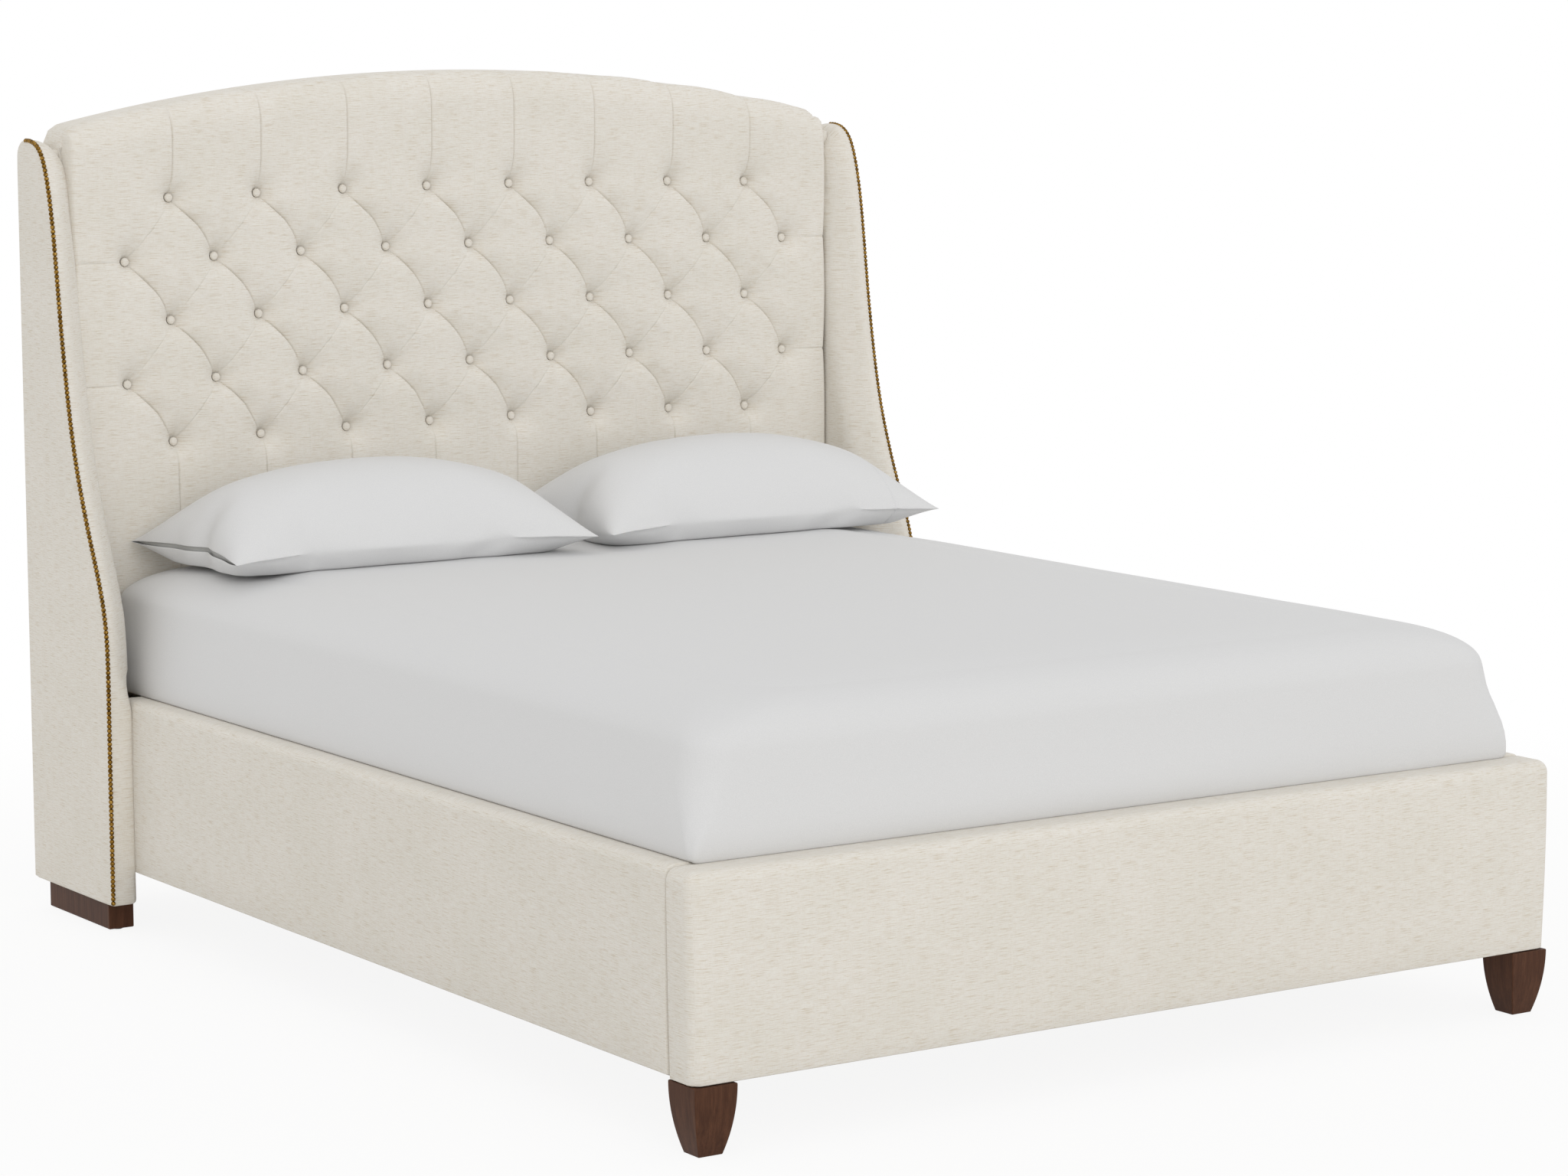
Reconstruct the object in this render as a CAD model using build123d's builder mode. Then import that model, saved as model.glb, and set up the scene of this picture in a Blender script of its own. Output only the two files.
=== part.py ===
"""Upholstered wingback bed with a tufted headboard, a mattress and two pillows.

Millimetres, +Z up, +Y towards the headboard, +X to the right seen from the foot.
The origin is on the floor, in the middle of the bed's length and width.
"""
from build123d import *
import math
import os

# Mattress and pillows: a queen mattress under a fitted sheet, and queen pillows
mattress_width = 1524
mattress_length = 2024
mattress_thickness = 305
mattress_corner_radius = 60
mattress_roll_height = 66
mattress_roll_width = 150
mattress_roll_depth = 90
mattress_crown = 8
mattress_crown_width = 180
mattress_crown_depth = 60
mattress_side_draw = 14
mattress_overhang = 33
mattress_overhang_drop = 8
mattress_overhang_rise = 12
sheet_thickness = 1.5
sheet_clearance = 0.3
pillow_width = 750
pillow_depth = 440
pillow_crown = 135
pillow_belly = 47
pillow_end_thickness = 6
pillow_side_draw = 16
pillow_gap = 28
pillow_shift = 22
pillow_setback = 5
pillow_clearance = 0.5
pillow_filling_inset = 25
pillow_filling_slack = 8
pillow_case_thickness = 1.5

# Clearances
mattress_foot_clearance = 1
mattress_head_clearance = 2
mattress_side_clearance = 10
rest_clearance = 0.3
panel_clearance = 0.5
bolt_clearance = 0.3
slide_clearance = 0.4
cut_overrun = 5

# Footboard
footboard_depth = 78
footboard_overhang = 3
footboard_top = 426
footboard_bottom = 108
footboard_foam = 18
footboard_bulge = 7
footboard_top_radius = 18
footboard_end_radius = 13

# Side rails
rail_depth = 72
rail_top = 428
rail_bottom = 112
rail_outer_foam = 20
rail_inner_foam = 12
rail_top_radius = 16
rail_end_radius = 8
rail_tuck = 16
cleat_width = 40
cleat_height = 40

# Slat deck
slat_thickness = 20
slat_width = 70
slat_count = 13
slat_end_gap = 4
deck_margin = 60
deck_top = 345
beam_width = 40
beam_height = 70
hanger_thickness = 3
hanger_depth = 40
hanger_lip = 22
centre_leg_size = 45
glide_stem_radius = 5
glide_stem_length = 48
glide_pad_radius = 17
glide_pad_thickness = 8
glide_chamfer = 2
glide_height = 16
insert_radius = 8
insert_length = 20
insert_flange_radius = 13
insert_flange_thickness = 1.5

# Headboard
headboard_thickness = 113
headboard_top = 1546
headboard_arch_rise = 97
headboard_corner_radius = 26
headboard_band = 35
tuft_depth = 30
pad_backing = 4
pad_bottom = 560
pad_roll = 38
face_panel_thickness = 6
back_panel_thickness = 9
post_width = 73
rail_bar_height = 130
bottom_bar_height = 150
bottom_bar_bottom = 180
stile_width = 70
dowel_radius = 6
dowel_reach = 30
dowel_clearance = 0.2
dowel_setback = 14
lower_board_thickness = 19
headboard_bottom = 110

# Tufting
tuft_side_margin = 119.2
tuft_top_margin = 224.3
tuft_row_pitch = 112.9
tuft_rows = 5
tuft_long_row = 9
tuft_bow = 6
pleat_rise = 12
rim_pleat_depth = 9
rim_scallop = 5
button_radius = 9
button_rim_height = 7.6
button_dome = 3.6

# Wings
wing_thickness = 48.2
wing_bottom = 58
wing_drop = 118
wing_depth = 338
wing_top_depth = 108
wing_knee = 500
wing_foam = 22
wing_inner_radius = 20
wing_outer_radius = 5
wing_top_radius = 32
wing_core_thickness = 24
wing_skin = 12.5
wing_bolt_bite = 18
trim_width = 8
trim_height = 2.6
trim_inset = 3
trim_edge = 1.4
trim_end_gap = 20
wing_foot_length = 259
wing_foot_width = 49
wing_foot_inset = 20
wing_foot_setback = 20
foot_screw_spacing = 130
wing_foot_chamfer = 1.5
foot_glide_radius = 9
foot_glide_thickness = 3

# Front legs
leg_top_size = 75
leg_bottom_size = 42
leg_end_inset = 6
leg_front_inset = 5
leg_edge_radius = 2
leg_bolt_radius = 4
leg_bolt_grip = 45

# Steel corner brackets and their bolts
bracket_thickness = 4
bracket_leg = 54
bracket_bolt_reach = 32
bracket_height = 70
bracket_bottom = 205
bolt_radius = 4
bolt_length = 32
bolt_head_radius = 7.5
bolt_head_height = 5.3
screw_radius = 2.2
screw_length = 34
screw_head_radius = 4.2
screw_head_height = 2.4

# Shares: the front edge of a wing from its knee to its top, as (height, sweep)
wing_sweep_shares = ((0.17, 0.16), (0.34, 0.46), (0.56, 0.68), (0.825, 0.85))
wing_top_lean_share = 0.35
# Shares: where a pillow's sections stand along its half width, and their size there
pillow_section_shares = ((0.0, 1.0), (0.3, 0.96), (0.62, 0.74), (0.86, 0.4), (0.97, 0.14))
# Shares: places along a rail's or a post's height for bolts
bracket_bolt_shares = (0.25, 0.75)
upper_wing_bolt_shares = (0.25, 0.85)
centre_leg_shares = (-0.33, 0.0, 0.33)
stile_place_share = 0.36
dowel_shares = (0.3, 0.7)

# Derived planes, front to back
bed_length = (footboard_depth + mattress_foot_clearance + mattress_length
              + mattress_head_clearance + headboard_thickness)
foot_front = -bed_length / 2
foot_back = foot_front + footboard_depth
mattress_front = foot_back + mattress_foot_clearance
mattress_back = mattress_front + mattress_length
mattress_middle = (mattress_front + mattress_back) / 2
pad_front = mattress_back + mattress_head_clearance
pad_well = pad_front + tuft_depth
pad_back = pad_well + pad_backing
frame_front = pad_back + face_panel_thickness
head_back = bed_length / 2
frame_back = head_back - back_panel_thickness
frame_depth = frame_back - frame_front

# Derived planes, middle to side
rail_inner = mattress_width / 2 + mattress_side_clearance
rail_outer = rail_inner + rail_depth
board_inner = rail_inner + rail_inner_foam
board_outer = rail_outer - rail_outer_foam
wing_inner = rail_outer + panel_clearance
wing_outer = wing_inner + wing_thickness
core_inner = wing_inner + wing_skin
pad_half = wing_inner - panel_clearance
post_inner = core_inner - post_width
footboard_half = rail_outer + footboard_overhang
board_half = footboard_half - footboard_foam
wing_front = head_back - wing_depth
rail_cover_end = wing_front + rail_tuck

# Derived heights
mattress_top = deck_top + mattress_thickness
cleat_top = deck_top - slat_thickness
board_top = rail_top - rail_outer_foam
core_top = headboard_top - headboard_band
arch_radius = (pad_half**2 + headboard_arch_rise**2) / (2 * headboard_arch_rise)
wing_top = headboard_top - wing_drop

# Derived places of the buttons: rows from the top edge down, columns from the middle
half_row = (tuft_long_row - 1) / 2
last_row = tuft_rows - 1
tuft_pitch = (pad_half - tuft_side_margin) / half_row
tuft_top_row = headboard_top - tuft_top_margin


def arch_height(x, top=headboard_top):
    """Height of the headboard's arch at a distance x from the middle."""
    return top - arch_radius + math.sqrt(arch_radius**2 - x**2)


def arched_face(half, bottom, top, corner=0):
    """A board's face under the headboard's arch: X across the bed and Y up."""
    with BuildSketch() as face:
        with BuildLine():
            ThreePointArc((-half, arch_height(half, top)), (0, top), (half, arch_height(half, top)))
            Polyline((half, arch_height(half, top)), (half, bottom), (-half, bottom),
                     (-half, arch_height(half, top)))
        make_face()
        if corner:
            fillet(face.vertices().group_by(Axis.Y)[-1], corner)
    return face.sketch


def hex_bolts(places, shank, grip, head_radius, head_height):
    """Bolts whose heads stand on the given planes, with shanks that go the other way."""
    with BuildPart() as blank:
        with BuildSketch() as head:
            RegularPolygon(head_radius, 6)
        extrude(head.sketch, amount=head_height)
        Cylinder(shank, grip, align=(Align.CENTER, Align.CENTER, Align.MAX))
    with BuildPart() as bolts:
        with Locations(*places):
            add(blank.part)
    return bolts


def bolt_holes(places, radius, depth):
    """Drill the part under construction at the given planes, from above their faces."""
    with Locations(*[place.offset(cut_overrun) for place in places]):
        Cylinder(radius, depth + cut_overrun, align=(Align.CENTER, Align.CENTER, Align.MAX),
                 mode=Mode.SUBTRACT)


# Places of the bolts: on the brackets, in the wings and in the legs
bracket_heights = [bracket_bottom + share * bracket_height for share in bracket_bolt_shares]
bracket_board_places = {}
bracket_wall_places = {}
for corner_name, wall, facing in (("foot", foot_back, 1), ("head", frame_front, -1)):
    for side_name, side in (("left", -1), ("right", 1)):
        board_face = side * (board_inner - bracket_thickness)
        wall_face = wall + facing * bracket_thickness
        bracket_board_places[corner_name, side_name] = [
            Plane(origin=(board_face, wall + facing * bracket_bolt_reach, height), z_dir=(-side, 0, 0))
            for height in bracket_heights]
        bracket_wall_places[corner_name, side_name] = [
            Plane(origin=(side * (board_inner - bracket_bolt_reach), wall_face, height),
                  z_dir=(0, facing, 0))
            for height in bracket_heights]
all_board_places = [place for group in bracket_board_places.values() for place in group]
all_wall_places = [place for group in bracket_wall_places.values() for place in group]
foot_wall_places = [place for key, group in bracket_wall_places.items()
                    if key[0] == "foot" for place in group]
head_wall_places = [place for key, group in bracket_wall_places.items()
                    if key[0] == "head" for place in group]

post_bottom = wing_bottom
post_top = arch_height(core_inner, core_top) - panel_clearance
post_middle = (frame_front + frame_back) / 2
arch_inner_height = arch_height(post_inner, core_top)
stile_bottom = pad_bottom + rail_bar_height / 2
stile_top = arch_inner_height - rail_bar_height
lower_wing_bolt = (bottom_bar_bottom + bottom_bar_height + pad_bottom - rail_bar_height / 2) / 2
wing_bolt_heights = [lower_wing_bolt] + [
    stile_bottom + share * (stile_top - stile_bottom) for share in upper_wing_bolt_shares]
wing_bolt_places = [Plane(origin=(side * post_inner, post_middle, height), z_dir=(-side, 0, 0))
                    for side in (-1, 1) for height in wing_bolt_heights]
wing_bolt_grip = post_width + wing_bolt_bite

leg_middle_x = footboard_half - leg_end_inset - leg_top_size / 2
leg_middle_y = foot_front + leg_front_inset + leg_top_size / 2
leg_bolt_places = [Plane(origin=(side * leg_middle_x, leg_middle_y, footboard_bottom),
                         z_dir=(0, 0, -1)) for side in (-1, 1)]

# Footboard: a board under foam and fabric, bolted to the rails through its back
with BuildPart() as footboard_board:
    with BuildSketch(Plane.XY.offset(footboard_bottom)):
        with Locations((0, foot_front + footboard_depth / 2)):
            Rectangle(2 * board_half, footboard_depth - 2 * footboard_foam)
    extrude(amount=footboard_top - footboard_foam - footboard_bottom)

with BuildPart() as footboard_cover:
    with BuildSketch(Plane.YZ) as footboard_profile:
        with BuildLine():
            front_bottom = (foot_front + footboard_bulge, footboard_bottom)
            front_top = (foot_front + footboard_bulge, footboard_top)
            front_middle = (foot_front, (footboard_bottom + footboard_top) / 2)
            ThreePointArc(front_bottom, front_middle, front_top)
            Polyline(front_top, (foot_back, footboard_top), (foot_back, footboard_bottom),
                     front_bottom)
        make_face()
        fillet(footboard_profile.vertices().group_by(Axis.Y)[-1], footboard_top_radius)
    extrude(amount=footboard_half, both=True)
    fillet(footboard_cover.faces().filter_by(Axis.X).edges()
           .filter_by_position(Axis.Y, foot_front, foot_back - footboard_end_radius)
           .filter_by(lambda edge: edge.center().Z < footboard_top - footboard_top_radius),
           footboard_end_radius)
    add(footboard_board.part, mode=Mode.SUBTRACT)
    bolt_holes(foot_wall_places, bolt_radius + bolt_clearance, bolt_length)

with footboard_board:
    bolt_holes(foot_wall_places, bolt_radius + bolt_clearance, bolt_length)
    bolt_holes(leg_bolt_places, leg_bolt_radius + bolt_clearance, leg_bolt_grip)


# Front legs: square, tapered by a curve that starts upright under the footboard
def leg_outline(plane, middle):
    """One side view of a leg, with both edges curving in towards the floor."""
    wide, narrow = leg_top_size / 2, leg_bottom_size / 2
    with BuildSketch(plane) as outline:
        with BuildLine():
            right = TangentArc((middle + wide, footboard_bottom), (middle + narrow, 0),
                               tangent=(0, -1))
            Line(right @ 1, (middle - narrow, 0))
            left = TangentArc((middle - wide, footboard_bottom), (middle - narrow, 0),
                              tangent=(0, -1))
            Line(left @ 0, right @ 0)
        make_face()
    return outline.sketch


with BuildPart() as front_leg_right:
    leg_back = leg_middle_y + leg_top_size / 2
    extrude(leg_outline(Plane.XZ.offset(-leg_back), leg_middle_x), amount=leg_top_size)
    extrude(leg_outline(Plane.YZ, leg_middle_y), amount=footboard_half, mode=Mode.INTERSECT)
    leg_corners = front_leg_right.edges().filter_by(
        lambda edge: 0 < edge.center().Z < footboard_bottom)
    fillet(leg_corners, leg_edge_radius)
    bolt_holes([Plane(origin=(leg_middle_x, leg_middle_y, footboard_bottom))],
               leg_bolt_radius + bolt_clearance, leg_bolt_grip)

with BuildPart() as front_leg_left:
    mirror(front_leg_right.part, about=Plane.YZ)

with BuildPart() as leg_hanger_bolts:
    for place in leg_bolt_places:
        with BuildSketch(place.offset(bolt_clearance - leg_bolt_grip)):
            Circle(leg_bolt_radius)
        extrude(amount=2 * (leg_bolt_grip - bolt_clearance))

# Side rails: a board under foam and fabric, longer than its cover by the wing's depth
with BuildPart() as side_rail_board_right:
    with BuildSketch(Plane.XZ.offset(-frame_front)):
        with Locations(((board_inner + board_outer) / 2, (rail_bottom + board_top) / 2)):
            Rectangle(board_outer - board_inner, board_top - rail_bottom)
    extrude(amount=frame_front - foot_back)
    bolt_holes(bracket_board_places["foot", "right"] + bracket_board_places["head", "right"],
               bolt_radius + bolt_clearance, bolt_length)

with BuildPart() as side_rail_cover_right:
    with BuildSketch(Plane.XZ.offset(-rail_cover_end)) as rail_profile:
        with Locations(((rail_inner + rail_outer) / 2, (rail_bottom + rail_top) / 2)):
            Rectangle(rail_depth, rail_top - rail_bottom)
        fillet(rail_profile.vertices().group_by(Axis.Y)[-1], rail_top_radius)
        with Locations(((rail_inner + board_inner) / 2, (rail_bottom + deck_top) / 2)):
            Rectangle(rail_inner_foam, deck_top - rail_bottom, mode=Mode.SUBTRACT)
    extrude(amount=rail_cover_end - foot_back)
    fillet(side_rail_cover_right.faces().sort_by(Axis.Y)[-1].edges().sort_by(Axis.Z)[:1],
           rail_end_radius)
    with BuildSketch(Plane.XZ.offset(-frame_front)):
        with Locations(((board_inner + board_outer) / 2, (rail_bottom + board_top) / 2)):
            Rectangle(board_outer - board_inner, board_top - rail_bottom)
    extrude(amount=bed_length, mode=Mode.SUBTRACT)

with BuildPart() as slat_cleat_right:
    with BuildSketch(Plane.XZ.offset(-frame_front + panel_clearance)):
        with Locations((board_inner - cleat_width / 2, cleat_top - cleat_height / 2)):
            Rectangle(cleat_width, cleat_height)
    extrude(amount=frame_front - foot_back - 2 * panel_clearance)

with BuildPart() as side_rail_board_left:
    mirror(side_rail_board_right.part, about=Plane.YZ)
with BuildPart() as side_rail_cover_left:
    mirror(side_rail_cover_right.part, about=Plane.YZ)
with BuildPart() as slat_cleat_left:
    mirror(slat_cleat_right.part, about=Plane.YZ)


def corner_bracket(wall, facing):
    """A steel angle for the right-hand corner of a rail and the wall that it meets."""
    with BuildPart() as bracket:
        with BuildSketch(Plane.XY.offset(bracket_bottom)) as angle:
            with BuildLine():
                corner = (board_inner, wall)
                Polyline(corner, (board_inner, wall + facing * bracket_leg),
                         (board_inner - bracket_thickness, wall + facing * bracket_leg),
                         (board_inner - bracket_thickness, wall + facing * bracket_thickness),
                         (board_inner - bracket_leg, wall + facing * bracket_thickness),
                         (board_inner - bracket_leg, wall), corner)
            make_face()
        extrude(angle.sketch, amount=bracket_height)
        key = "foot" if facing > 0 else "head"
        bolt_holes(bracket_board_places[key, "right"] + bracket_wall_places[key, "right"],
                   bolt_radius + bolt_clearance, bracket_thickness + cut_overrun)
    return bracket


foot_bracket_right = corner_bracket(foot_back, 1)
head_bracket_right = corner_bracket(frame_front, -1)
with BuildPart() as foot_bracket_left:
    mirror(foot_bracket_right.part, about=Plane.YZ)
with BuildPart() as head_bracket_left:
    mirror(head_bracket_right.part, about=Plane.YZ)
bracket_bolts = hex_bolts(all_board_places + all_wall_places, bolt_radius, bolt_length,
                          bolt_head_radius, bolt_head_height)

# Slat deck: slats on two cleats and a centre beam, which hangs between foot and head
slat_half = board_inner - slat_end_gap
slat_first = foot_back + deck_margin
slat_pitch = (frame_front - deck_margin - slat_first) / (slat_count - 1)
slat_ys = [slat_first + index * slat_pitch for index in range(slat_count)]
screw_xs = [side * (board_inner - cleat_width / 2) for side in (-1, 1)]
screw_places = [Plane(origin=(x, y, deck_top - screw_head_height))
                for x in screw_xs for y in slat_ys]

with BuildPart() as slats:
    with BuildSketch(Plane.XY.offset(cleat_top)):
        with Locations(*[(0, y) for y in slat_ys]):
            Rectangle(2 * slat_half, slat_width)
    extrude(amount=slat_thickness)
    bolt_holes([place.offset(screw_head_height) for place in screw_places],
               screw_head_radius + bolt_clearance, screw_head_height)
    bolt_holes(screw_places, screw_radius + bolt_clearance, slat_thickness + cut_overrun)

screw_hole_depth = screw_length + bolt_clearance
slat_screws = hex_bolts(screw_places, screw_radius, screw_length, screw_head_radius,
                        screw_head_height - bolt_clearance)

for cleat in (slat_cleat_left, slat_cleat_right):
    with cleat:
        bolt_holes(screw_places, screw_radius + bolt_clearance, screw_hole_depth)

beam_ends = (foot_back + hanger_thickness + panel_clearance,
             frame_front - hanger_thickness - panel_clearance)
centre_leg_ys = [share * (frame_front - foot_back) + (frame_front + foot_back) / 2
                 for share in centre_leg_shares]
centre_leg_bolt_places = [Plane(origin=(0, y, cleat_top - bolt_head_height - bolt_clearance))
                          for y in centre_leg_ys]

with BuildPart() as centre_beam:
    with BuildSketch(Plane.XY.offset(cleat_top - beam_height)):
        with Locations((0, sum(beam_ends) / 2)):
            Rectangle(beam_width, beam_ends[1] - beam_ends[0])
    extrude(amount=beam_height)
    bolt_holes(centre_leg_bolt_places, bolt_radius + bolt_clearance, beam_height)
    bolt_holes([place.offset(bolt_head_height) for place in centre_leg_bolt_places],
               bolt_head_radius + bolt_clearance, bolt_head_height)

centre_leg_bolt_grip = beam_height - bolt_head_height - bolt_clearance + bolt_length
centre_leg_bolts = hex_bolts(centre_leg_bolt_places, bolt_radius, centre_leg_bolt_grip,
                             bolt_head_radius, bolt_head_height)


def beam_hanger(wall, facing):
    """A steel stirrup on a wall, open at its top, that the beam's end drops into."""
    seat = beam_width / 2 + panel_clearance
    outside = seat + hanger_thickness
    lowest = cleat_top - beam_height - hanger_thickness
    with BuildPart() as hanger:
        with BuildSketch(Plane.XY.offset(lowest)) as block:
            with Locations((0, wall + facing * hanger_depth / 2)):
                Rectangle(2 * outside, hanger_depth)
            with Locations((0, wall + facing * hanger_thickness / 2)):
                Rectangle(2 * (outside + hanger_lip), hanger_thickness)
        extrude(block.sketch, amount=beam_height)
        with BuildSketch(Plane.XY.offset(lowest + hanger_thickness)) as inside:
            with Locations((0, wall + facing * (hanger_thickness + hanger_depth / 2))):
                Rectangle(2 * seat, hanger_depth)
        extrude(inside.sketch, amount=beam_height, mode=Mode.SUBTRACT)
    return hanger


beam_hanger_foot = beam_hanger(foot_back, 1)
beam_hanger_head = beam_hanger(frame_front, -1)

# Centre legs, each on an adjustable glide that screws into an insert in the leg's end
centre_leg_top = cleat_top - beam_height
glide_top = glide_pad_thickness + glide_stem_length
bore_top = glide_top + glide_height
with BuildPart() as insert_blank:
    Cylinder(insert_radius, insert_length, align=(Align.CENTER, Align.CENTER, Align.MIN))
    Cylinder(insert_flange_radius, insert_flange_thickness,
             align=(Align.CENTER, Align.CENTER, Align.MIN))
    Hole(glide_stem_radius + slide_clearance)

insert_bottom = glide_pad_thickness + glide_height - insert_flange_thickness
with BuildPart() as centre_inserts:
    with Locations(*[(0, y, insert_bottom) for y in centre_leg_ys]):
        add(insert_blank.part)

centre_legs = []
centre_glides = []
for leg_y in centre_leg_ys:
    with BuildPart() as centre_leg:
        with BuildSketch(Plane.XY.offset(glide_pad_thickness + glide_height)):
            with Locations((0, leg_y)):
                Rectangle(centre_leg_size, centre_leg_size)
        extrude(amount=centre_leg_top - glide_pad_thickness - glide_height)
        bolt_holes([Plane(origin=(0, leg_y, centre_leg_top))], bolt_radius + bolt_clearance,
                   bolt_length + bolt_clearance)
        with Locations((0, leg_y, glide_pad_thickness + glide_height)):
            Cylinder(glide_stem_radius + 2 * slide_clearance, bore_top - glide_pad_thickness,
                     align=(Align.CENTER, Align.CENTER, Align.MIN), mode=Mode.SUBTRACT)
            Cylinder(insert_radius + slide_clearance, insert_length + slide_clearance,
                     align=(Align.CENTER, Align.CENTER, Align.MIN), mode=Mode.SUBTRACT)
    centre_legs.append(centre_leg)
    with BuildPart() as centre_glide:
        with Locations((0, leg_y, 0)):
            Cylinder(glide_pad_radius, glide_pad_thickness,
                     align=(Align.CENTER, Align.CENTER, Align.MIN))
        chamfer(centre_glide.faces().sort_by(Axis.Z)[0].edges(), glide_chamfer)
        with Locations((0, leg_y, glide_pad_thickness)):
            Cylinder(glide_stem_radius, glide_stem_length,
                     align=(Align.CENTER, Align.CENTER, Align.MIN))
    centre_glides.append(centre_glide)

# Headboard frame: two posts, three bars, two stiles, and boards in front and behind
with BuildPart() as headboard_post_right:
    with BuildSketch(Plane.XY.offset(post_bottom)):
        with Locations(((post_inner + core_inner) / 2, post_middle)):
            Rectangle(post_width, frame_depth)
    extrude(amount=post_top - post_bottom)
    bolt_holes(wing_bolt_places[len(wing_bolt_heights):], bolt_radius + bolt_clearance,
               post_width + cut_overrun)
with BuildPart() as headboard_post_left:
    mirror(headboard_post_right.part, about=Plane.YZ)

with BuildPart() as headboard_arch_rail:
    with BuildSketch(Plane.XZ.offset(-frame_back)) as arch_rail_face:
        add(arched_face(post_inner, arch_inner_height - rail_bar_height, core_top))
    extrude(amount=frame_depth)

with BuildPart() as headboard_middle_rail:
    with BuildSketch(Plane.XZ.offset(-frame_back)):
        with Locations((0, pad_bottom)):
            Rectangle(2 * post_inner, rail_bar_height)
    extrude(amount=frame_depth)

with BuildPart() as headboard_bottom_rail:
    with BuildSketch(Plane.XZ.offset(-frame_back)):
        with Locations((0, bottom_bar_bottom + bottom_bar_height / 2)):
            Rectangle(2 * post_inner, bottom_bar_height)
    extrude(amount=frame_depth)
    bolt_holes(head_wall_places, bolt_radius + bolt_clearance, bolt_length)

frame_rails = ((headboard_arch_rail, arch_inner_height - rail_bar_height, rail_bar_height),
               (headboard_middle_rail, pad_bottom - rail_bar_height / 2, rail_bar_height),
               (headboard_bottom_rail, bottom_bar_bottom, bottom_bar_height))
dowel_y = post_middle + dowel_setback
dowel_spots = []
for frame_rail, lowest, height in frame_rails:
    rail_spots = [(side, lowest + share * height) for side in (-1, 1) for share in dowel_shares]
    dowel_spots += rail_spots
    with frame_rail:
        bolt_holes([Plane(origin=(side * post_inner, dowel_y, z), z_dir=(side, 0, 0))
                    for side, z in rail_spots], dowel_radius + dowel_clearance,
                   dowel_reach + dowel_clearance)
for side, post in ((-1, headboard_post_left), (1, headboard_post_right)):
    with post:
        bolt_holes([Plane(origin=(side * post_inner, dowel_y, z), z_dir=(-side, 0, 0))
                    for where, z in dowel_spots if where == side],
                   dowel_radius + dowel_clearance, dowel_reach + dowel_clearance)
with BuildPart() as frame_dowels:
    with Locations(*[Plane(origin=(side * post_inner, dowel_y, z), z_dir=(side, 0, 0))
                     for side, z in dowel_spots]):
        Cylinder(dowel_radius, 2 * dowel_reach)

with BuildPart() as headboard_stiles:
    with BuildSketch(Plane.XZ.offset(-frame_back)):
        with Locations(*[(side * stile_place_share * post_inner, (stile_bottom + stile_top) / 2)
                         for side in (-1, 1)]):
            Rectangle(stile_width, stile_top - stile_bottom)
    extrude(amount=frame_depth)

with BuildPart() as headboard_face_panel:
    with BuildSketch(Plane.XZ.offset(-frame_front)):
        add(arched_face(pad_half, pad_bottom, core_top))
    extrude(amount=face_panel_thickness)

with BuildPart() as headboard_lower_board:
    with BuildSketch(Plane.XZ.offset(-frame_front)):
        with Locations((0, (deck_top + pad_bottom) / 2)):
            Rectangle(2 * post_inner, pad_bottom - deck_top - 2 * panel_clearance)
    extrude(amount=lower_board_thickness)

with BuildPart() as headboard_back_panel:
    with BuildSketch(Plane.XZ.offset(-head_back)):
        add(arched_face(pad_half, headboard_bottom, core_top))
    extrude(amount=back_panel_thickness)

with BuildPart() as headboard_top_band:
    with BuildSketch(Plane.XZ.offset(-head_back)):
        add(arched_face(pad_half, headboard_bottom, headboard_top, headboard_corner_radius))
        add(arched_face(pad_half + cut_overrun, headboard_bottom - cut_overrun, core_top),
            mode=Mode.SUBTRACT)
    extrude(amount=head_back - pad_back)

# The tufted pad: one curved face for each diamond between four buttons, and round the
# diamonds a border whose faces roll back to the boards. Points of the quilting pattern
# lie on the XZ plane, and their height over the button wells is added towards the foot.
crown = tuft_depth
rim_height = tuft_depth - rim_pleat_depth
slope_shares = ((0, 0), (1 / 3, 0.7), (2 / 3, 1.1), (1, 1))
corner_pull_share = 0.6


def tuft(column, row):
    """A button's place: columns count pitches from the middle, rows from the top."""
    bow = tuft_bow * (1 - 2 * (column / half_row) ** 2)
    return Vector(column * tuft_pitch, 0, tuft_top_row - row * tuft_row_pitch + bow)


def raise_by(point, height):
    """Lift a point of the pattern off the well plane."""
    return Vector(point.X, pad_well - height, point.Z)


def between(start, end, share):
    """The point at a share of the way from start to end."""
    return start * (1 - share) + end * share


def pleat(start, end):
    """The fold between two buttons, as three control points of a curve."""
    return [raise_by(start, 0), raise_by((start + end) / 2, 2 * pleat_rise), raise_by(end, 0)]


def raised(points, degree):
    """The same curve, written with the control points of a higher degree."""
    while len(points) <= degree:
        count = len(points)
        inner = [between(points[i], points[i - 1], i / count) for i in range(1, count)]
        points = [points[0], *inner, points[-1]]
    return points


def diamond(column, row):
    """The pillowed face between four buttons, named by its middle."""
    west, east = tuft(column - 0.5, row), tuft(column + 0.5, row)
    north, south = tuft(column, row - 1), tuft(column, row + 1)
    middle = raise_by((west + east + north + south) / 4, 4 * (crown - pleat_rise))
    return Face.make_bezier_surface([
        pleat(west, north),
        [pleat(west, south)[1], middle, pleat(north, east)[1]],
        pleat(south, east)])


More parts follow.
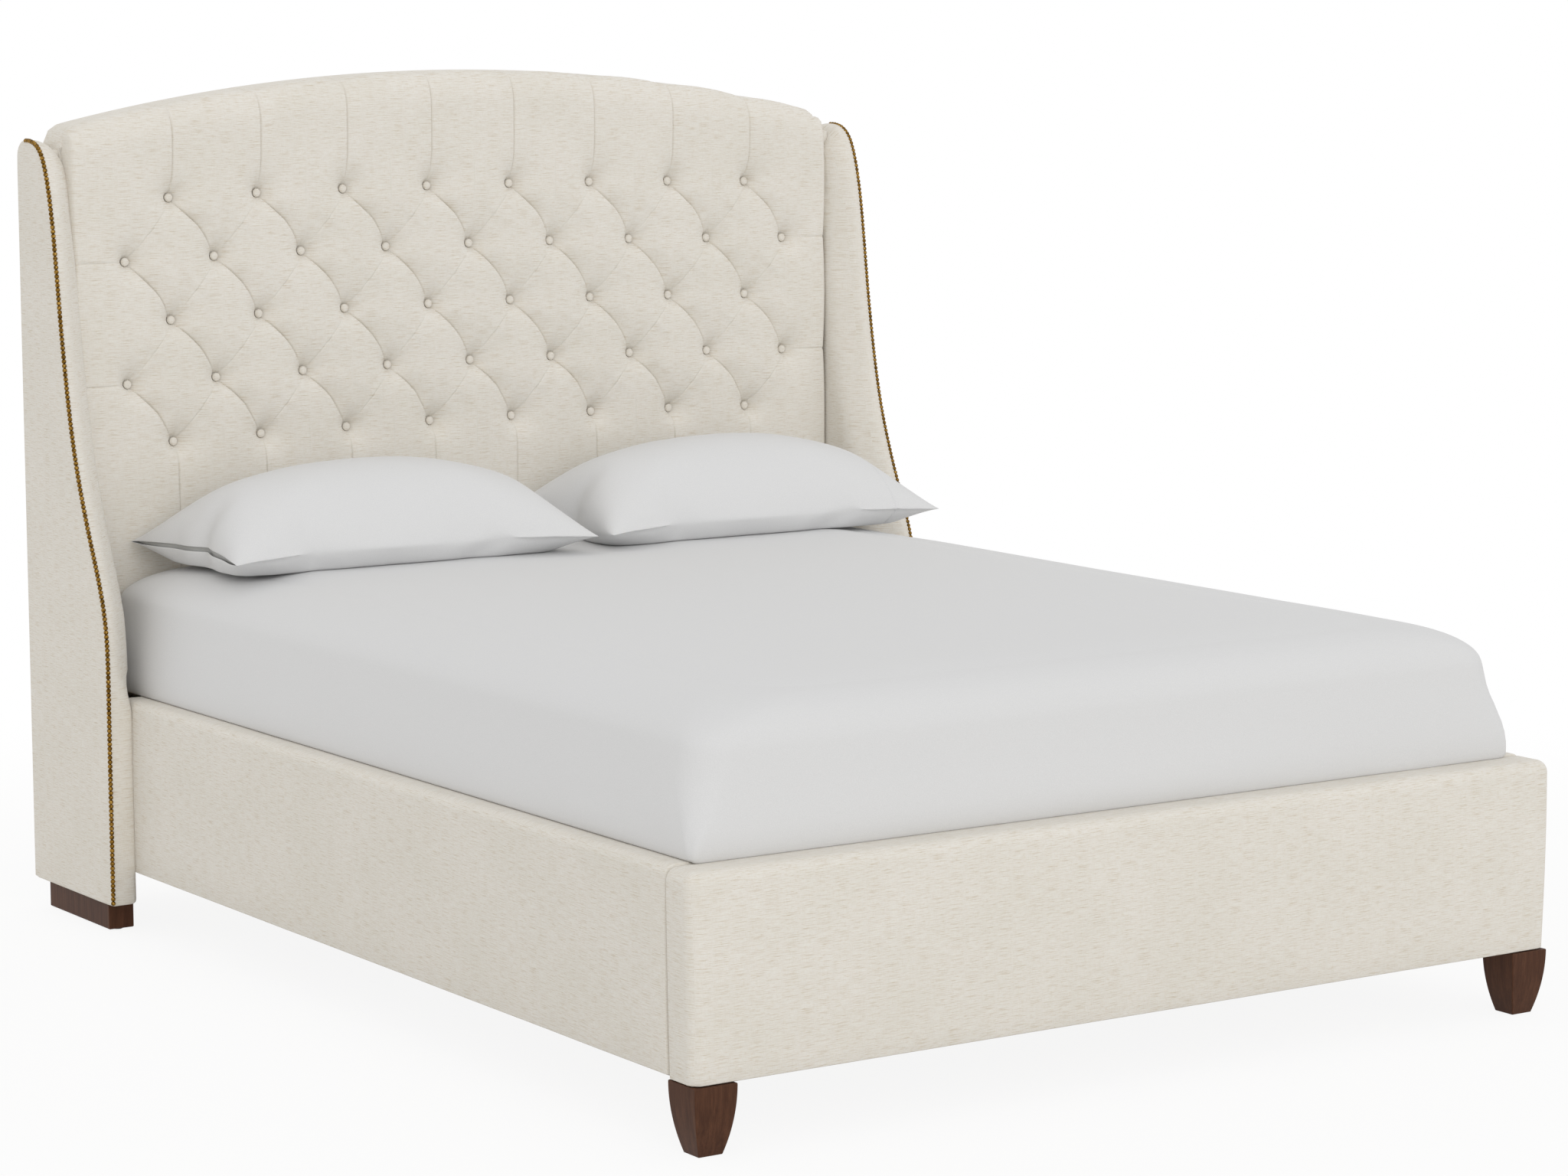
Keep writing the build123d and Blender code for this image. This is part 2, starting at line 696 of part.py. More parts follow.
def border(folds, shoulder, edge, heights):
    """Two faces from a line of folds out to the pad's edge: a soft slope and a roll.

    The shoulder is the line where the roll starts, heights are its heights over the
    wells, and the edge is the outline. All four hold as many points."""
    slope = []
    for along, rise in slope_shares:
        slope.append([raise_by(between(fold, end, along), height * rise) if along else fold
                      for fold, end, height in zip(folds, shoulder, heights)])
    rim = [Vector(point.X, pad_back, point.Z) for point in edge]
    roll = [slope[-1], [raise_by(point, height) for point, height in zip(edge, heights)], rim]
    return [Face.make_bezier_surface(slope), Face.make_bezier_surface(roll)], rim


def top_edge(x, inset, dip):
    """A point of the pad's arched top edge, inset for its roll and dipped at a pleat."""
    return Vector(x, 0, arch_height(x) - inset - dip)


def bottom_edge(x, inset, dip):
    """A point of the pad's straight bottom edge."""
    return Vector(x, 0, pad_bottom + inset + dip)


def upright(edge_of):
    """The outline straight above or below a place."""
    return lambda place, inset, dip: edge_of(place.X, inset, dip)


def sideways(side):
    """The outline straight beside a place, where no pleat dips it."""
    return lambda place, inset, dip: Vector(side * (pad_half - inset), 0, place.Z)


def straight_border(start, end, outline):
    """The border beyond one fold, from a pleat at its start to a crest at its end."""
    places = [start, (start + end) / 2, end]
    dips = [rim_scallop, 0, 0]
    shoulder = [outline(place, pad_roll, dip) for place, dip in zip(places, dips)]
    edge = [outline(place, 0, dip) for place, dip in zip(places, dips)]
    return border(pleat(start, end), shoulder, edge, [rim_height, crown, crown])


def corner_border(side_tuft, row_tuft, side, outline):
    """The border round a corner, from the last side pleat to the last upright pleat."""
    lines = []
    for inset in (pad_roll, 0):
        edge_x = side * (pad_half - inset)
        start = Vector(edge_x, 0, side_tuft.Z)
        end = outline(row_tuft.X, inset, rim_scallop)
        corner = Vector(edge_x, 0, outline(pad_half, inset, 0).Z)
        lines.append([start, between(start, corner, corner_pull_share), corner, corner,
                      between(end, corner, corner_pull_share), end])
    heights = [rim_height, crown, crown, crown, crown, rim_height]
    folds = raised(pleat(side_tuft, row_tuft), len(heights) - 1)
    return border(folds, lines[0], lines[1], heights)


diamonds = []
for row in range(1, last_row):
    columns = tuft_long_row - 1 if row % 2 else tuft_long_row - 2
    for index in range(columns):
        diamonds.append(diamond(index - (columns - 1) / 2, row))

borders = []
row_ends = ((top_edge, 0, 1), (bottom_edge, last_row, last_row - 1))
for edge_of, outer_row, inner_row in row_ends:
    for index in range(tuft_long_row - 2):
        column = index - (tuft_long_row - 3) / 2
        for side in (-0.5, 0.5):
            borders.append(straight_border(tuft(column + side, outer_row),
                                           tuft(column, inner_row), upright(edge_of)))
    for side in (-1, 1):
        borders.append(corner_border(tuft(side * half_row, inner_row),
                                     tuft(side * (half_row - 0.5), outer_row), side, edge_of))

for side in (-1, 1):
    for row in (1, last_row - 1):
        borders.append(straight_border(tuft(side * half_row, row),
                                       tuft(side * (half_row - 0.5), last_row / 2),
                                       sideways(side)))

pad_rims = [Edge.make_bezier(*rim) for _, rim in borders]
pad_faces = diamonds + [face for faces, _ in borders for face in faces] + [Face(Wire(pad_rims))]
with BuildPart() as headboard_pad:
    add(Solid(Shell(pad_faces)))

tuft_places = []
for row in range(tuft_rows):
    columns = tuft_long_row if row % 2 else tuft_long_row - 1
    for index in range(columns):
        place = tuft(index - (columns - 1) / 2, row)
        tuft_places.append(Plane(origin=(place.X, pad_well - rest_clearance, place.Z),
                                 x_dir=(1, 0, 0), z_dir=(0, -1, 0)))

with BuildPart() as button_blank:
    with BuildSketch(Plane.XZ):
        with BuildLine():
            Line((0, 0), (button_radius, button_rim_height))
            dome_radius = (button_radius**2 + button_dome**2) / (2 * button_dome)
            RadiusArc((button_radius, button_rim_height), (0, button_rim_height + button_dome),
                      -dome_radius)
            Line((0, button_rim_height + button_dome), (0, 0))
        make_face()
    revolve(axis=Axis.Z)
with BuildPart() as tuft_buttons:
    with Locations(*tuft_places):
        add(button_blank.part)


# Wings: a shaped plywood panel in foam and fabric, bolted to the headboard's post
def wing_outline(inset):
    """A wing's side view, moved in from its top, front and back: X along the bed, Y up."""
    knee = (wing_front + inset, wing_knee)
    lean = wing_depth - wing_top_depth
    rise = wing_top - wing_knee
    sweep = [(wing_front + inset + across * lean, wing_knee + up * (rise - inset))
             for up, across in wing_sweep_shares]
    crest = (head_back - wing_top_depth + inset, wing_top - inset)
    back = head_back - inset
    with BuildSketch() as outline:
        with BuildLine():
            Spline(knee, *sweep, crest, tangents=((0, 1), (wing_top_lean_share, 1)))
            Polyline(crest, (back, wing_top - inset), (back, wing_bottom),
                     (wing_front + inset, wing_bottom), knee)
        make_face()
        top_corners = outline.vertices().group_by(Axis.Y)[-1]
        fillet(top_corners, wing_top_radius)
    return outline.sketch


with BuildPart() as wing_core_right:
    with BuildSketch(Plane.YZ.offset(core_inner)):
        add(wing_outline(wing_foam))
    extrude(amount=wing_core_thickness)

with BuildPart() as wing_pad_right:
    with BuildSketch(Plane.YZ.offset(wing_inner)):
        add(wing_outline(0))
    extrude(amount=wing_thickness)
    face_in = wing_pad_right.faces().sort_by(Axis.X)[0]
    face_out = wing_pad_right.faces().sort_by(Axis.X)[-1]
    soft_edges = face_in.edges().filter_by(
        lambda edge: edge.center().Y < frame_front and edge.center().Z > wing_bottom + cut_overrun)
    hard_edges = face_out.edges().filter_by(
        lambda edge: edge.center().Z > wing_bottom + cut_overrun)
    fillet(soft_edges, wing_inner_radius)
    fillet(hard_edges, wing_outer_radius)
    add(wing_core_right.part, mode=Mode.SUBTRACT)
    with BuildSketch(Plane.XY.offset(wing_bottom)):
        with Locations(((wing_inner + core_inner) / 2, post_middle)):
            Rectangle(core_inner - wing_inner, frame_depth)
    extrude(amount=post_top - wing_bottom, mode=Mode.SUBTRACT)

with BuildPart() as nail_trim_right:
    with BuildSketch(Plane.YZ.offset(wing_outer)) as trim_face:
        add(wing_outline(trim_inset))
        add(wing_outline(trim_inset + trim_width), mode=Mode.SUBTRACT)
        with Locations((head_back - trim_end_gap, wing_top)):
            Rectangle(2 * wing_depth, 2 * wing_top, align=(Align.MIN, Align.CENTER),
                      mode=Mode.SUBTRACT)
        with Locations((head_back, wing_bottom + trim_width)):
            Rectangle(4 * wing_depth, wing_bottom, align=(Align.CENTER, Align.MAX),
                      mode=Mode.SUBTRACT)
    extrude(amount=trim_height)
    chamfer(nail_trim_right.faces().sort_by(Axis.X)[-1].edges(), trim_edge)

foot_screw_x = (core_inner + wing_outer - wing_foot_inset) / 2
foot_middle_x = wing_outer - wing_foot_inset - wing_foot_width / 2
foot_middle_y = head_back - wing_foot_setback - wing_foot_length / 2
foot_ys = [foot_middle_y + side * foot_screw_spacing / 2 for side in (-1, 1)]
glide_ys = [foot_middle_y + side * (wing_foot_length / 2 - 2 * foot_glide_radius)
            for side in (-1, 1)]
foot_screw_depth = foot_glide_thickness + wing_foot_inset / 2
foot_screw_places = {
    side: [Plane(origin=(side * foot_screw_x, y, foot_screw_depth), z_dir=(0, 0, -1))
           for y in foot_ys]
    for side in (-1, 1)}
foot_screw_grip = wing_bottom - foot_screw_depth + screw_length

with BuildPart() as wing_foot_right:
    with BuildSketch(Plane.XY.offset(foot_glide_thickness)):
        with Locations((foot_middle_x, foot_middle_y)):
            Rectangle(wing_foot_width, wing_foot_length)
    extrude(amount=wing_bottom - foot_glide_thickness)
    fillet(wing_foot_right.edges().filter_by(Axis.Z), leg_edge_radius)
    chamfer(wing_foot_right.faces().sort_by(Axis.Z)[0].edges(), wing_foot_chamfer)
    bolt_holes(foot_screw_places[1], screw_radius + bolt_clearance, foot_screw_grip)
    bolt_holes([place.offset(foot_screw_depth) for place in foot_screw_places[1]],
               screw_head_radius + bolt_clearance, foot_screw_depth)
with wing_core_right:
    bolt_holes(foot_screw_places[1], screw_radius + bolt_clearance,
               foot_screw_grip + bolt_clearance)
    bolt_holes(wing_bolt_places[len(wing_bolt_heights):], bolt_radius + bolt_clearance,
               wing_bolt_grip + bolt_clearance)

with BuildPart() as wing_foot_glides:
    with BuildSketch():
        with Locations(*[(side * foot_middle_x, y) for side in (-1, 1) for y in glide_ys]):
            Circle(foot_glide_radius)
    extrude(amount=foot_glide_thickness)

wing_foot_screws = hex_bolts(foot_screw_places[-1] + foot_screw_places[1], screw_radius,
                             foot_screw_grip, screw_head_radius, screw_head_height)
wing_bolts = hex_bolts(wing_bolt_places, bolt_radius, wing_bolt_grip, bolt_head_radius,
                       bolt_head_height)

with BuildPart() as wing_core_left:
    mirror(wing_core_right.part, about=Plane.YZ)
with BuildPart() as wing_pad_left:
    mirror(wing_pad_right.part, about=Plane.YZ)
with BuildPart() as nail_trim_left:
    mirror(nail_trim_right.part, about=Plane.YZ)
with BuildPart() as wing_foot_left:
    mirror(wing_foot_right.part, about=Plane.YZ)

# Mattress: it fills the frame up to the rails, swells over them and is rounded above
roll_angles = [step * math.pi / 8 for step in range(5)]


def mattress_block(inset, bottom):
    """The mattress as a stack of rounded rectangles, drawn in by inset on every side."""
    over = mattress_width / 2 + mattress_overhang
    shoulder = mattress_top - mattress_roll_height
    levels = [(bottom, mattress_width / 2, 0),
              (rail_top - mattress_overhang_drop, mattress_width / 2, 0),
              (rail_top + mattress_overhang_rise, over, 0)]
    for angle in roll_angles:
        drop = 1 - math.cos(angle)
        levels.append((shoulder + mattress_roll_height * math.sin(angle) - inset,
                       over - mattress_side_draw - mattress_roll_width * drop,
                       mattress_roll_depth * drop))
    levels.append((mattress_top + mattress_crown - inset,
                   levels[-1][1] - mattress_crown_width, levels[-1][2] + mattress_crown_depth))
    with BuildPart() as block:
        for height, half, end in levels:
            with BuildSketch(Plane.XY.offset(height)) as level:
                with Locations((0, mattress_middle)):
                    RectangleRounded(2 * (half - inset), mattress_length - 2 * (end + inset),
                                     mattress_corner_radius - inset)
        loft(block.pending_faces, ruled=True)
    return block


mattress_core = mattress_block(sheet_thickness + sheet_clearance, deck_top)
sheet_outside = mattress_block(0, deck_top + rest_clearance)
sheet_hollow = mattress_block(sheet_thickness, deck_top - cut_overrun)
with BuildPart() as fitted_sheet:
    add(sheet_outside.part)
    add(sheet_hollow.part, mode=Mode.SUBTRACT)


def pillow_block(middle_x, inset, slack, left_end, right_end):
    """A pillow as lens-shaped sections across it, thin at its ends and full in its middle."""
    middle_y = mattress_back - pillow_setback - pillow_depth / 2
    seat = mattress_top + mattress_crown + pillow_clearance + pillow_belly
    end_size = pillow_end_thickness / (2 * pillow_belly)
    steps = [(-along, size) for along, size in reversed(pillow_section_shares[1:])]
    steps = [(-1, end_size), *steps, *pillow_section_shares, (1, end_size)]
    with BuildPart() as block:
        for along, size in steps:
            reach = pillow_width / 2 + (left_end if along < 0 else right_end)
            tip = pillow_depth / 2 - pillow_side_draw * (1 - along**2) - inset - slack
            plane = Plane(origin=(middle_x + along * reach, middle_y, seat),
                          x_dir=(0, 1, 0), z_dir=(1, 0, 0))
            with BuildSketch(plane):
                with BuildLine():
                    ThreePointArc((-tip, 0), (0, pillow_crown * size - inset), (tip, 0))
                    ThreePointArc((tip, 0), (0, inset - pillow_belly * size), (-tip, 0))
                make_face()
        loft(block.pending_faces)
    return block


def pillow_pieces(side):
    """A filling and its case, whose outer end is open, on one side of the bed."""
    middle_x = pillow_shift + side * (pillow_width + pillow_gap) / 2
    closed, opened = -pillow_case_thickness, 0
    hollow_ends = (opened, closed) if side < 0 else (closed, opened)
    outside = pillow_block(middle_x, 0, 0, 0, 0)
    hollow = pillow_block(middle_x, pillow_case_thickness, 0, *hollow_ends)
    filling = pillow_block(middle_x, pillow_case_thickness + rest_clearance,
                           pillow_filling_slack, -pillow_filling_inset, -pillow_filling_inset)
    with BuildPart() as case:
        add(outside.part)
        add(hollow.part, mode=Mode.SUBTRACT)
    return filling, case


pillow_filling_left, pillowcase_left = pillow_pieces(-1)
pillow_filling_right, pillowcase_right = pillow_pieces(1)

# Each piece is written under its own name
pieces = {
    "footboard_board": footboard_board,
    "footboard_cover": footboard_cover,
    "front_leg_left": front_leg_left,
    "front_leg_right": front_leg_right,
    "leg_hanger_bolts": leg_hanger_bolts,
    "side_rail_board_left": side_rail_board_left,
    "side_rail_board_right": side_rail_board_right,
    "side_rail_cover_left": side_rail_cover_left,
    "side_rail_cover_right": side_rail_cover_right,
    "slat_cleat_left": slat_cleat_left,
    "slat_cleat_right": slat_cleat_right,
    "foot_bracket_left": foot_bracket_left,
    "foot_bracket_right": foot_bracket_right,
    "head_bracket_left": head_bracket_left,
    "head_bracket_right": head_bracket_right,
    "bracket_bolts": bracket_bolts,
    "slats": slats,
    "slat_screws": slat_screws,
    "centre_beam": centre_beam,
    "beam_hanger_foot": beam_hanger_foot,
    "beam_hanger_head": beam_hanger_head,
    "centre_leg_bolts": centre_leg_bolts,
    "centre_leg_front": centre_legs[0],
    "centre_leg_middle": centre_legs[1],
    "centre_leg_back": centre_legs[2],
    "centre_leg_inserts": centre_inserts,
    "glide_front": centre_glides[0],
    "glide_middle": centre_glides[1],
    "glide_back": centre_glides[2],
    "headboard_post_left": headboard_post_left,
    "headboard_post_right": headboard_post_right,
    "headboard_arch_rail": headboard_arch_rail,
    "headboard_middle_rail": headboard_middle_rail,
    "headboard_bottom_rail": headboard_bottom_rail,
    "headboard_stiles": headboard_stiles,
    "frame_dowels": frame_dowels,
    "headboard_face_panel": headboard_face_panel,
    "headboard_lower_board": headboard_lower_board,
    "headboard_back_panel": headboard_back_panel,
    "headboard_top_band": headboard_top_band,
    "headboard_pad": headboard_pad,
    "tuft_buttons": tuft_buttons,
    "wing_core_left": wing_core_left,
    "wing_core_right": wing_core_right,
    "wing_pad_left": wing_pad_left,
    "wing_pad_right": wing_pad_right,
    "nail_trim_left": nail_trim_left,
    "nail_trim_right": nail_trim_right,
    "wing_foot_left": wing_foot_left,
    "wing_foot_right": wing_foot_right,
    "wing_foot_glides": wing_foot_glides,
    "wing_foot_screws": wing_foot_screws,
    "wing_bolts": wing_bolts,
    "mattress_core": mattress_core,
    "fitted_sheet": fitted_sheet,
    "pillow_filling_left": pillow_filling_left,
    "pillow_filling_right": pillow_filling_right,
    "pillowcase_left": pillowcase_left,
    "pillowcase_right": pillowcase_right,
}
os.makedirs("parts", exist_ok=True)
for name, piece in pieces.items():
    piece.part.label = name
    export_step(piece.part, f"parts/{name}.step")
print(len(pieces), "pieces written")
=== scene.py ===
# %% [markdown]
# # An upholstered wingback bed
#
# The frame that this script loads is the bed's construction: boards, posts, slats, bolts and
# plain soft solids, each in its real place. The lesson is how to dress it. Linen over foam,
# a tufted headboard, brass nails, a fitted sheet and two pillows each get a piece of their own
# that stands for the plain solid under it.

# %% Load the construction and set up the numbers
import math

import bmesh
import bpy
import numpy as np
from mathutils import Matrix, Vector, noise


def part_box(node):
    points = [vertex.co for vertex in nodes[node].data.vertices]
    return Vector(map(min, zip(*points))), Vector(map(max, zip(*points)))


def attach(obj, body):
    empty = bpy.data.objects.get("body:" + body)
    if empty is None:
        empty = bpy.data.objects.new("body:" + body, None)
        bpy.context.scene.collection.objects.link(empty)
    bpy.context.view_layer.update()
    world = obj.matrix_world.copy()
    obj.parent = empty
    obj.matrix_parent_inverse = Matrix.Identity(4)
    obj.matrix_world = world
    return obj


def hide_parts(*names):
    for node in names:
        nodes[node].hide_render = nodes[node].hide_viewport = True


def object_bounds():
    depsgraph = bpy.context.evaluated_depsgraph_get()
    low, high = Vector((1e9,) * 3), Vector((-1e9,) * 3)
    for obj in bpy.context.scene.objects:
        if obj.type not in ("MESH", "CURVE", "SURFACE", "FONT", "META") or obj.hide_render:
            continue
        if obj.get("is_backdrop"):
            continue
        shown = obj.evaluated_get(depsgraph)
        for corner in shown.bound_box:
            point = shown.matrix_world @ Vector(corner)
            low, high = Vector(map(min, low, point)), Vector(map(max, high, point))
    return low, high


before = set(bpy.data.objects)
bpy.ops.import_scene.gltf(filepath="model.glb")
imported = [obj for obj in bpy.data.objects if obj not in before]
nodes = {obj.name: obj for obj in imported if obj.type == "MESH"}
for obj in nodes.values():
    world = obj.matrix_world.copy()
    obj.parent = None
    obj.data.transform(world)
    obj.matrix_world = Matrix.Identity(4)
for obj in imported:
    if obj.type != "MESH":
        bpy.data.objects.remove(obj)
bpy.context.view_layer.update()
MM = 0.001

# %% [markdown]
# ## Camera
#
# The photograph was taken from the foot's left, a little above the headboard's top, with a long
# lens. The camera's place and angles were solved from the bed's straight edges, so the render
# lies on the photograph without any shift.

# %% Camera
CAMERA_PLACE = Vector((-4.129, -6.278, 1.672))
CAMERA_AZIMUTH, CAMERA_PITCH, CAMERA_ROLL = [math.radians(angle) for angle in (-33.659, 7.7, -0.125)]
FOCAL_PIXELS, PHOTO_WIDTH, SENSOR = 5650.1, 2048, 36.0

forward = Vector((-math.sin(CAMERA_AZIMUTH) * math.cos(CAMERA_PITCH),
                  math.cos(CAMERA_AZIMUTH) * math.cos(CAMERA_PITCH), -math.sin(CAMERA_PITCH)))
level = Vector((math.cos(CAMERA_AZIMUTH), math.sin(CAMERA_AZIMUTH), 0))
upward = level.cross(forward)
rightward = math.cos(CAMERA_ROLL) * level + math.sin(CAMERA_ROLL) * upward
upward = -math.sin(CAMERA_ROLL) * level + math.cos(CAMERA_ROLL) * upward
camera_data = bpy.data.cameras.new("camera")
camera_data.sensor_width = SENSOR
camera_data.lens = FOCAL_PIXELS / PHOTO_WIDTH * SENSOR
camera = bpy.data.objects.new("camera", camera_data)
bpy.context.scene.collection.objects.link(camera)
turn = Matrix((rightward, upward, -forward)).transposed().to_4x4()
camera.matrix_world = Matrix.Translation(CAMERA_PLACE) @ turn
bpy.context.scene.camera = camera
print("lens in mm:", round(camera_data.lens, 2))

# %% [markdown]
# ## Making materials
#
# A material starts from what the real one is. One small function turns a web colour into the
# linear numbers that Blender mixes, and one adds a node with its settings and links.


# %% Helpers for materials
def colour(code):
    """Turn an sRGB hex colour into linear red, green, blue and alpha."""
    parts = [int(code[i:i + 2], 16) / 255 for i in (1, 3, 5)]
    return (*[c / 12.92 if c <= 0.04045 else ((c + 0.055) / 1.055) ** 2.4 for c in parts], 1.0)


def node(tree, kind, settings=None, inputs=None):
    """Add a node, give it settings, and link or set its inputs by name or number."""
    made = tree.nodes.new(kind)
    for name, value in (settings or {}).items():
        setattr(made, name, value)
    for name, value in (inputs or {}).items():
        if isinstance(value, bpy.types.NodeSocket):
            tree.links.new(value, made.inputs[name])
        else:
            made.inputs[name].default_value = value
    return made


def new_material(name):
    """An empty material with its output, ready for a surface."""
    material = bpy.data.materials.new(name)
    material.use_nodes = True
    material.node_tree.nodes.clear()
    return material, material.node_tree


def surface(tree, bump=None, **inputs):
    """End a material in a Principled surface with these inputs."""
    inputs = {key.replace("_", " "): value for key, value in inputs.items()}
    if bump:
        inputs["Normal"] = bump.outputs["Normal"]
    shader = node(tree, "ShaderNodeBsdfPrincipled", inputs=inputs)
    node(tree, "ShaderNodeOutputMaterial", inputs={"Surface": shader.outputs["BSDF"]})


def steps(tree, factor, stops):
    """Run a pattern through a ramp of colours, given as (place, hex) pairs."""
    ramp = node(tree, "ShaderNodeValToRGB", inputs={"Fac": factor})
    elements = ramp.color_ramp.elements
    while len(elements) < len(stops):
        elements.new(0.5)
    for element, (place, code) in zip(elements, stops):
        element.position = place
        element.color = colour(code)
    return ramp.outputs["Color"]


print("a middle grey in linear numbers:", round(colour("#808080")[0], 3))

# %% [markdown]
# ## Linen
#
# The cover is an oatmeal linen and viscose weave. Thick and thin places in the weft show as
# tan and pale slubs that lie level all over the bed, and finer warp threads cross them. A real
# slub is about half a millimetre high. Here it is 30 mm long and 1.2 mm high, because a finer
# one wouldn't show in a picture of the whole bed. The weave is matt and takes a soft sheen at a
# glancing angle. The pattern follows each piece's own UV map, which is in metres, so a thread
# has the same size on every piece. A flat board has no such map and uses its own coordinates.


# %% Linen
THREADS = {"slub": (30, 1.2), "fleck": (9, 1.0), "warp": (1.0, 13), "weft": (8, 1.0),
           "cloud": (170, 120)}
OATMEAL = ((0.30, "#E7E4DD"), (0.50, "#E5E1DA"), (0.62, "#E0DAD0"), (0.76, "#D3C9B9"))
OVER_OATMEAL = {"fleck": ((0.40, "#FFFFFF"), (0.62, "#FCFBF9"), (0.78, "#F1EADF")),
                "warp": ((0.28, "#FAFAF9"), (0.50, "#FFFFFF"), (0.74, "#F9F8F5")),
                "cloud": ((0.3, "#FCFCFB"), (0.7, "#FFFFFF"))}


def linen(name, coordinates):
    """Oatmeal slub linen on a UV map in metres, or on Object coordinates for a flat board."""
    material, tree = new_material(name)
    place = node(tree, "ShaderNodeTexCoord").outputs[coordinates]
    if coordinates == "Object":
        place = node(tree, "ShaderNodeMapping", inputs={
            "Vector": place, "Rotation": (math.radians(-90), 0, 0)}).outputs["Vector"]
    patterns = {}
    for key, (across, up) in THREADS.items():
        stretched = node(tree, "ShaderNodeMapping", inputs={
            "Vector": place, "Scale": (1 / (across * MM), 1 / (up * MM), 1)})
        patterns[key] = node(tree, "ShaderNodeTexNoise", {"noise_dimensions": "2D"}, {
            "Vector": stretched.outputs["Vector"], "Scale": 1.0, "Detail": 2.0,
            "Roughness": 0.55}).outputs["Fac"]
    tint = steps(tree, patterns["slub"], OATMEAL)
    for key, stops in OVER_OATMEAL.items():
        tint = node(tree, "ShaderNodeMix", {"data_type": "RGBA", "blend_type": "MULTIPLY"}, {
            "Factor": 1.0, 6: tint, 7: steps(tree, patterns[key], stops)}).outputs[2]
    threads = node(tree, "ShaderNodeMath", {"operation": "ADD"}, {
        0: patterns["warp"], 1: patterns["weft"]})
    bump = node(tree, "ShaderNodeBump", inputs={
        "Height": threads.outputs[0], "Strength": 0.35, "Distance": 0.7 * MM})
    surface(tree, bump, Base_Color=tint, Roughness=0.92, Sheen_Weight=0.12, Sheen_Roughness=0.5,
            Specular_IOR_Level=0.25)
    return material


oatmeal_linen = linen("oatmeal_slub_linen", "UV")
board_linen = linen("oatmeal_linen_on_boards", "Object")
print("linen has threads of", THREADS, "in mm")

# %% [markdown]
# ## Cotton percale
#
# The sheet and pillowcases are a plain white percale: a close, even weave with no pattern that
# shows from a few steps away, only a fine tooth and a soft crease here and there. A real one's
# threads are a quarter of a millimetre apart. Here the tooth is 1.6 mm, as coarse as it has to be
# to show. The colour is a light grey, because even white cloth doesn't reflect all of the light.


# %% Cotton
def cotton(name, code):
    """White percale: an even tooth of threads, and soft creases too shallow to model."""
    material, tree = new_material(name)
    place = node(tree, "ShaderNodeTexCoord").outputs["Object"]
    tooth = node(tree, "ShaderNodeTexNoise", inputs={
        "Vector": place, "Scale": 620.0, "Detail": 1.0}).outputs["Fac"]
    tint = steps(tree, tooth, ((0.30, code), (0.72, "#FFFFFF")))
    tint = node(tree, "ShaderNodeMix", {"data_type": "RGBA"}, {
        "Factor": 0.90, 6: tint, 7: colour(code)}).outputs[2]
    crease = node(tree, "ShaderNodeTexNoise", inputs={
        "Vector": place, "Scale": 9.0, "Detail": 3.0, "Distortion": 0.6}).outputs["Fac"]
    height = node(tree, "ShaderNodeMath", {"operation": "MULTIPLY_ADD"}, {
        0: crease, 1: 6.0, 2: tooth})
    bump = node(tree, "ShaderNodeBump", inputs={
        "Height": height.outputs[0], "Strength": 0.22, "Distance": 0.5 * MM})
    surface(tree, bump, Base_Color=tint, Roughness=0.85, Sheen_Weight=0.08,
            Specular_IOR_Level=0.3)
    return material


white_percale = cotton("white_cotton_percale", "#D7D7D7")
grey_ticking = cotton("grey_cotton_ticking", "#CFCFCC")
print("cottons:", white_percale.name, grey_ticking.name)

# %% [markdown]
# ## Wood
#
# The legs and feet are beech, stained walnut brown under a satin lacquer. Grain runs down the
# leg, so the pattern is long in Z. The inner boards are planed pine, matt and pale, and their
# grain follows each board's length. The panels are birch plywood, whose figure is broad.


# %% Wood
def wood(name, grain, stops, roughness, gloss=0.4):
    """Straight-grained wood: grain gives the figure's size in mm along each axis."""
    material, tree = new_material(name)
    place = node(tree, "ShaderNodeTexCoord").outputs["Object"]
    layers = []
    for share, detail in ((1.0, 3.0), (0.22, 1.0)):
        stretched = node(tree, "ShaderNodeMapping", inputs={
            "Vector": place, "Scale": [1 / (size * share * MM) for size in grain]})
        layers.append(node(tree, "ShaderNodeTexNoise", inputs={
            "Vector": stretched.outputs["Vector"], "Scale": 1.0, "Detail": detail,
            "Distortion": 0.35}).outputs["Fac"])
    mixed = node(tree, "ShaderNodeMix", inputs={0: 0.35, 2: layers[0], 3: layers[1]}).outputs[0]
    bump = node(tree, "ShaderNodeBump", inputs={
        "Height": layers[1], "Strength": 0.15, "Distance": 0.3 * MM})
    surface(tree, bump, Base_Color=steps(tree, mixed, stops), Roughness=roughness,
            Specular_IOR_Level=gloss)
    return material


WALNUT = ((0.30, "#42281C"), (0.5, "#4E3223"), (0.70, "#5C3C2B"))
PINE = ((0.30, "#C9A878"), (0.52, "#DCC193"), (0.72, "#E6D0A8"))
walnut = wood("walnut_stained_beech", (7, 7, 110), WALNUT, 0.45, 0.12)
pine = {axis: wood(f"planed_pine_{axis}", [140 if axis == own else 9 for own in "xyz"], PINE, 0.6)
        for axis in "xyz"}
birch_ply = wood("birch_plywood", (60, 60, 60), ((0.3, "#C8AA7A"), (0.7, "#DBC298")), 0.6)
print("woods:", walnut.name, birch_ply.name, *[board.name for board in pine.values()])

# %% [markdown]
# ## Metals and nylon
#
# The nail heads are steel plated in antique brass: dark in the hollows and worn bright on the
# dome. Brackets and bolts are bright zinc-plated steel, and the glides under the feet are nylon.


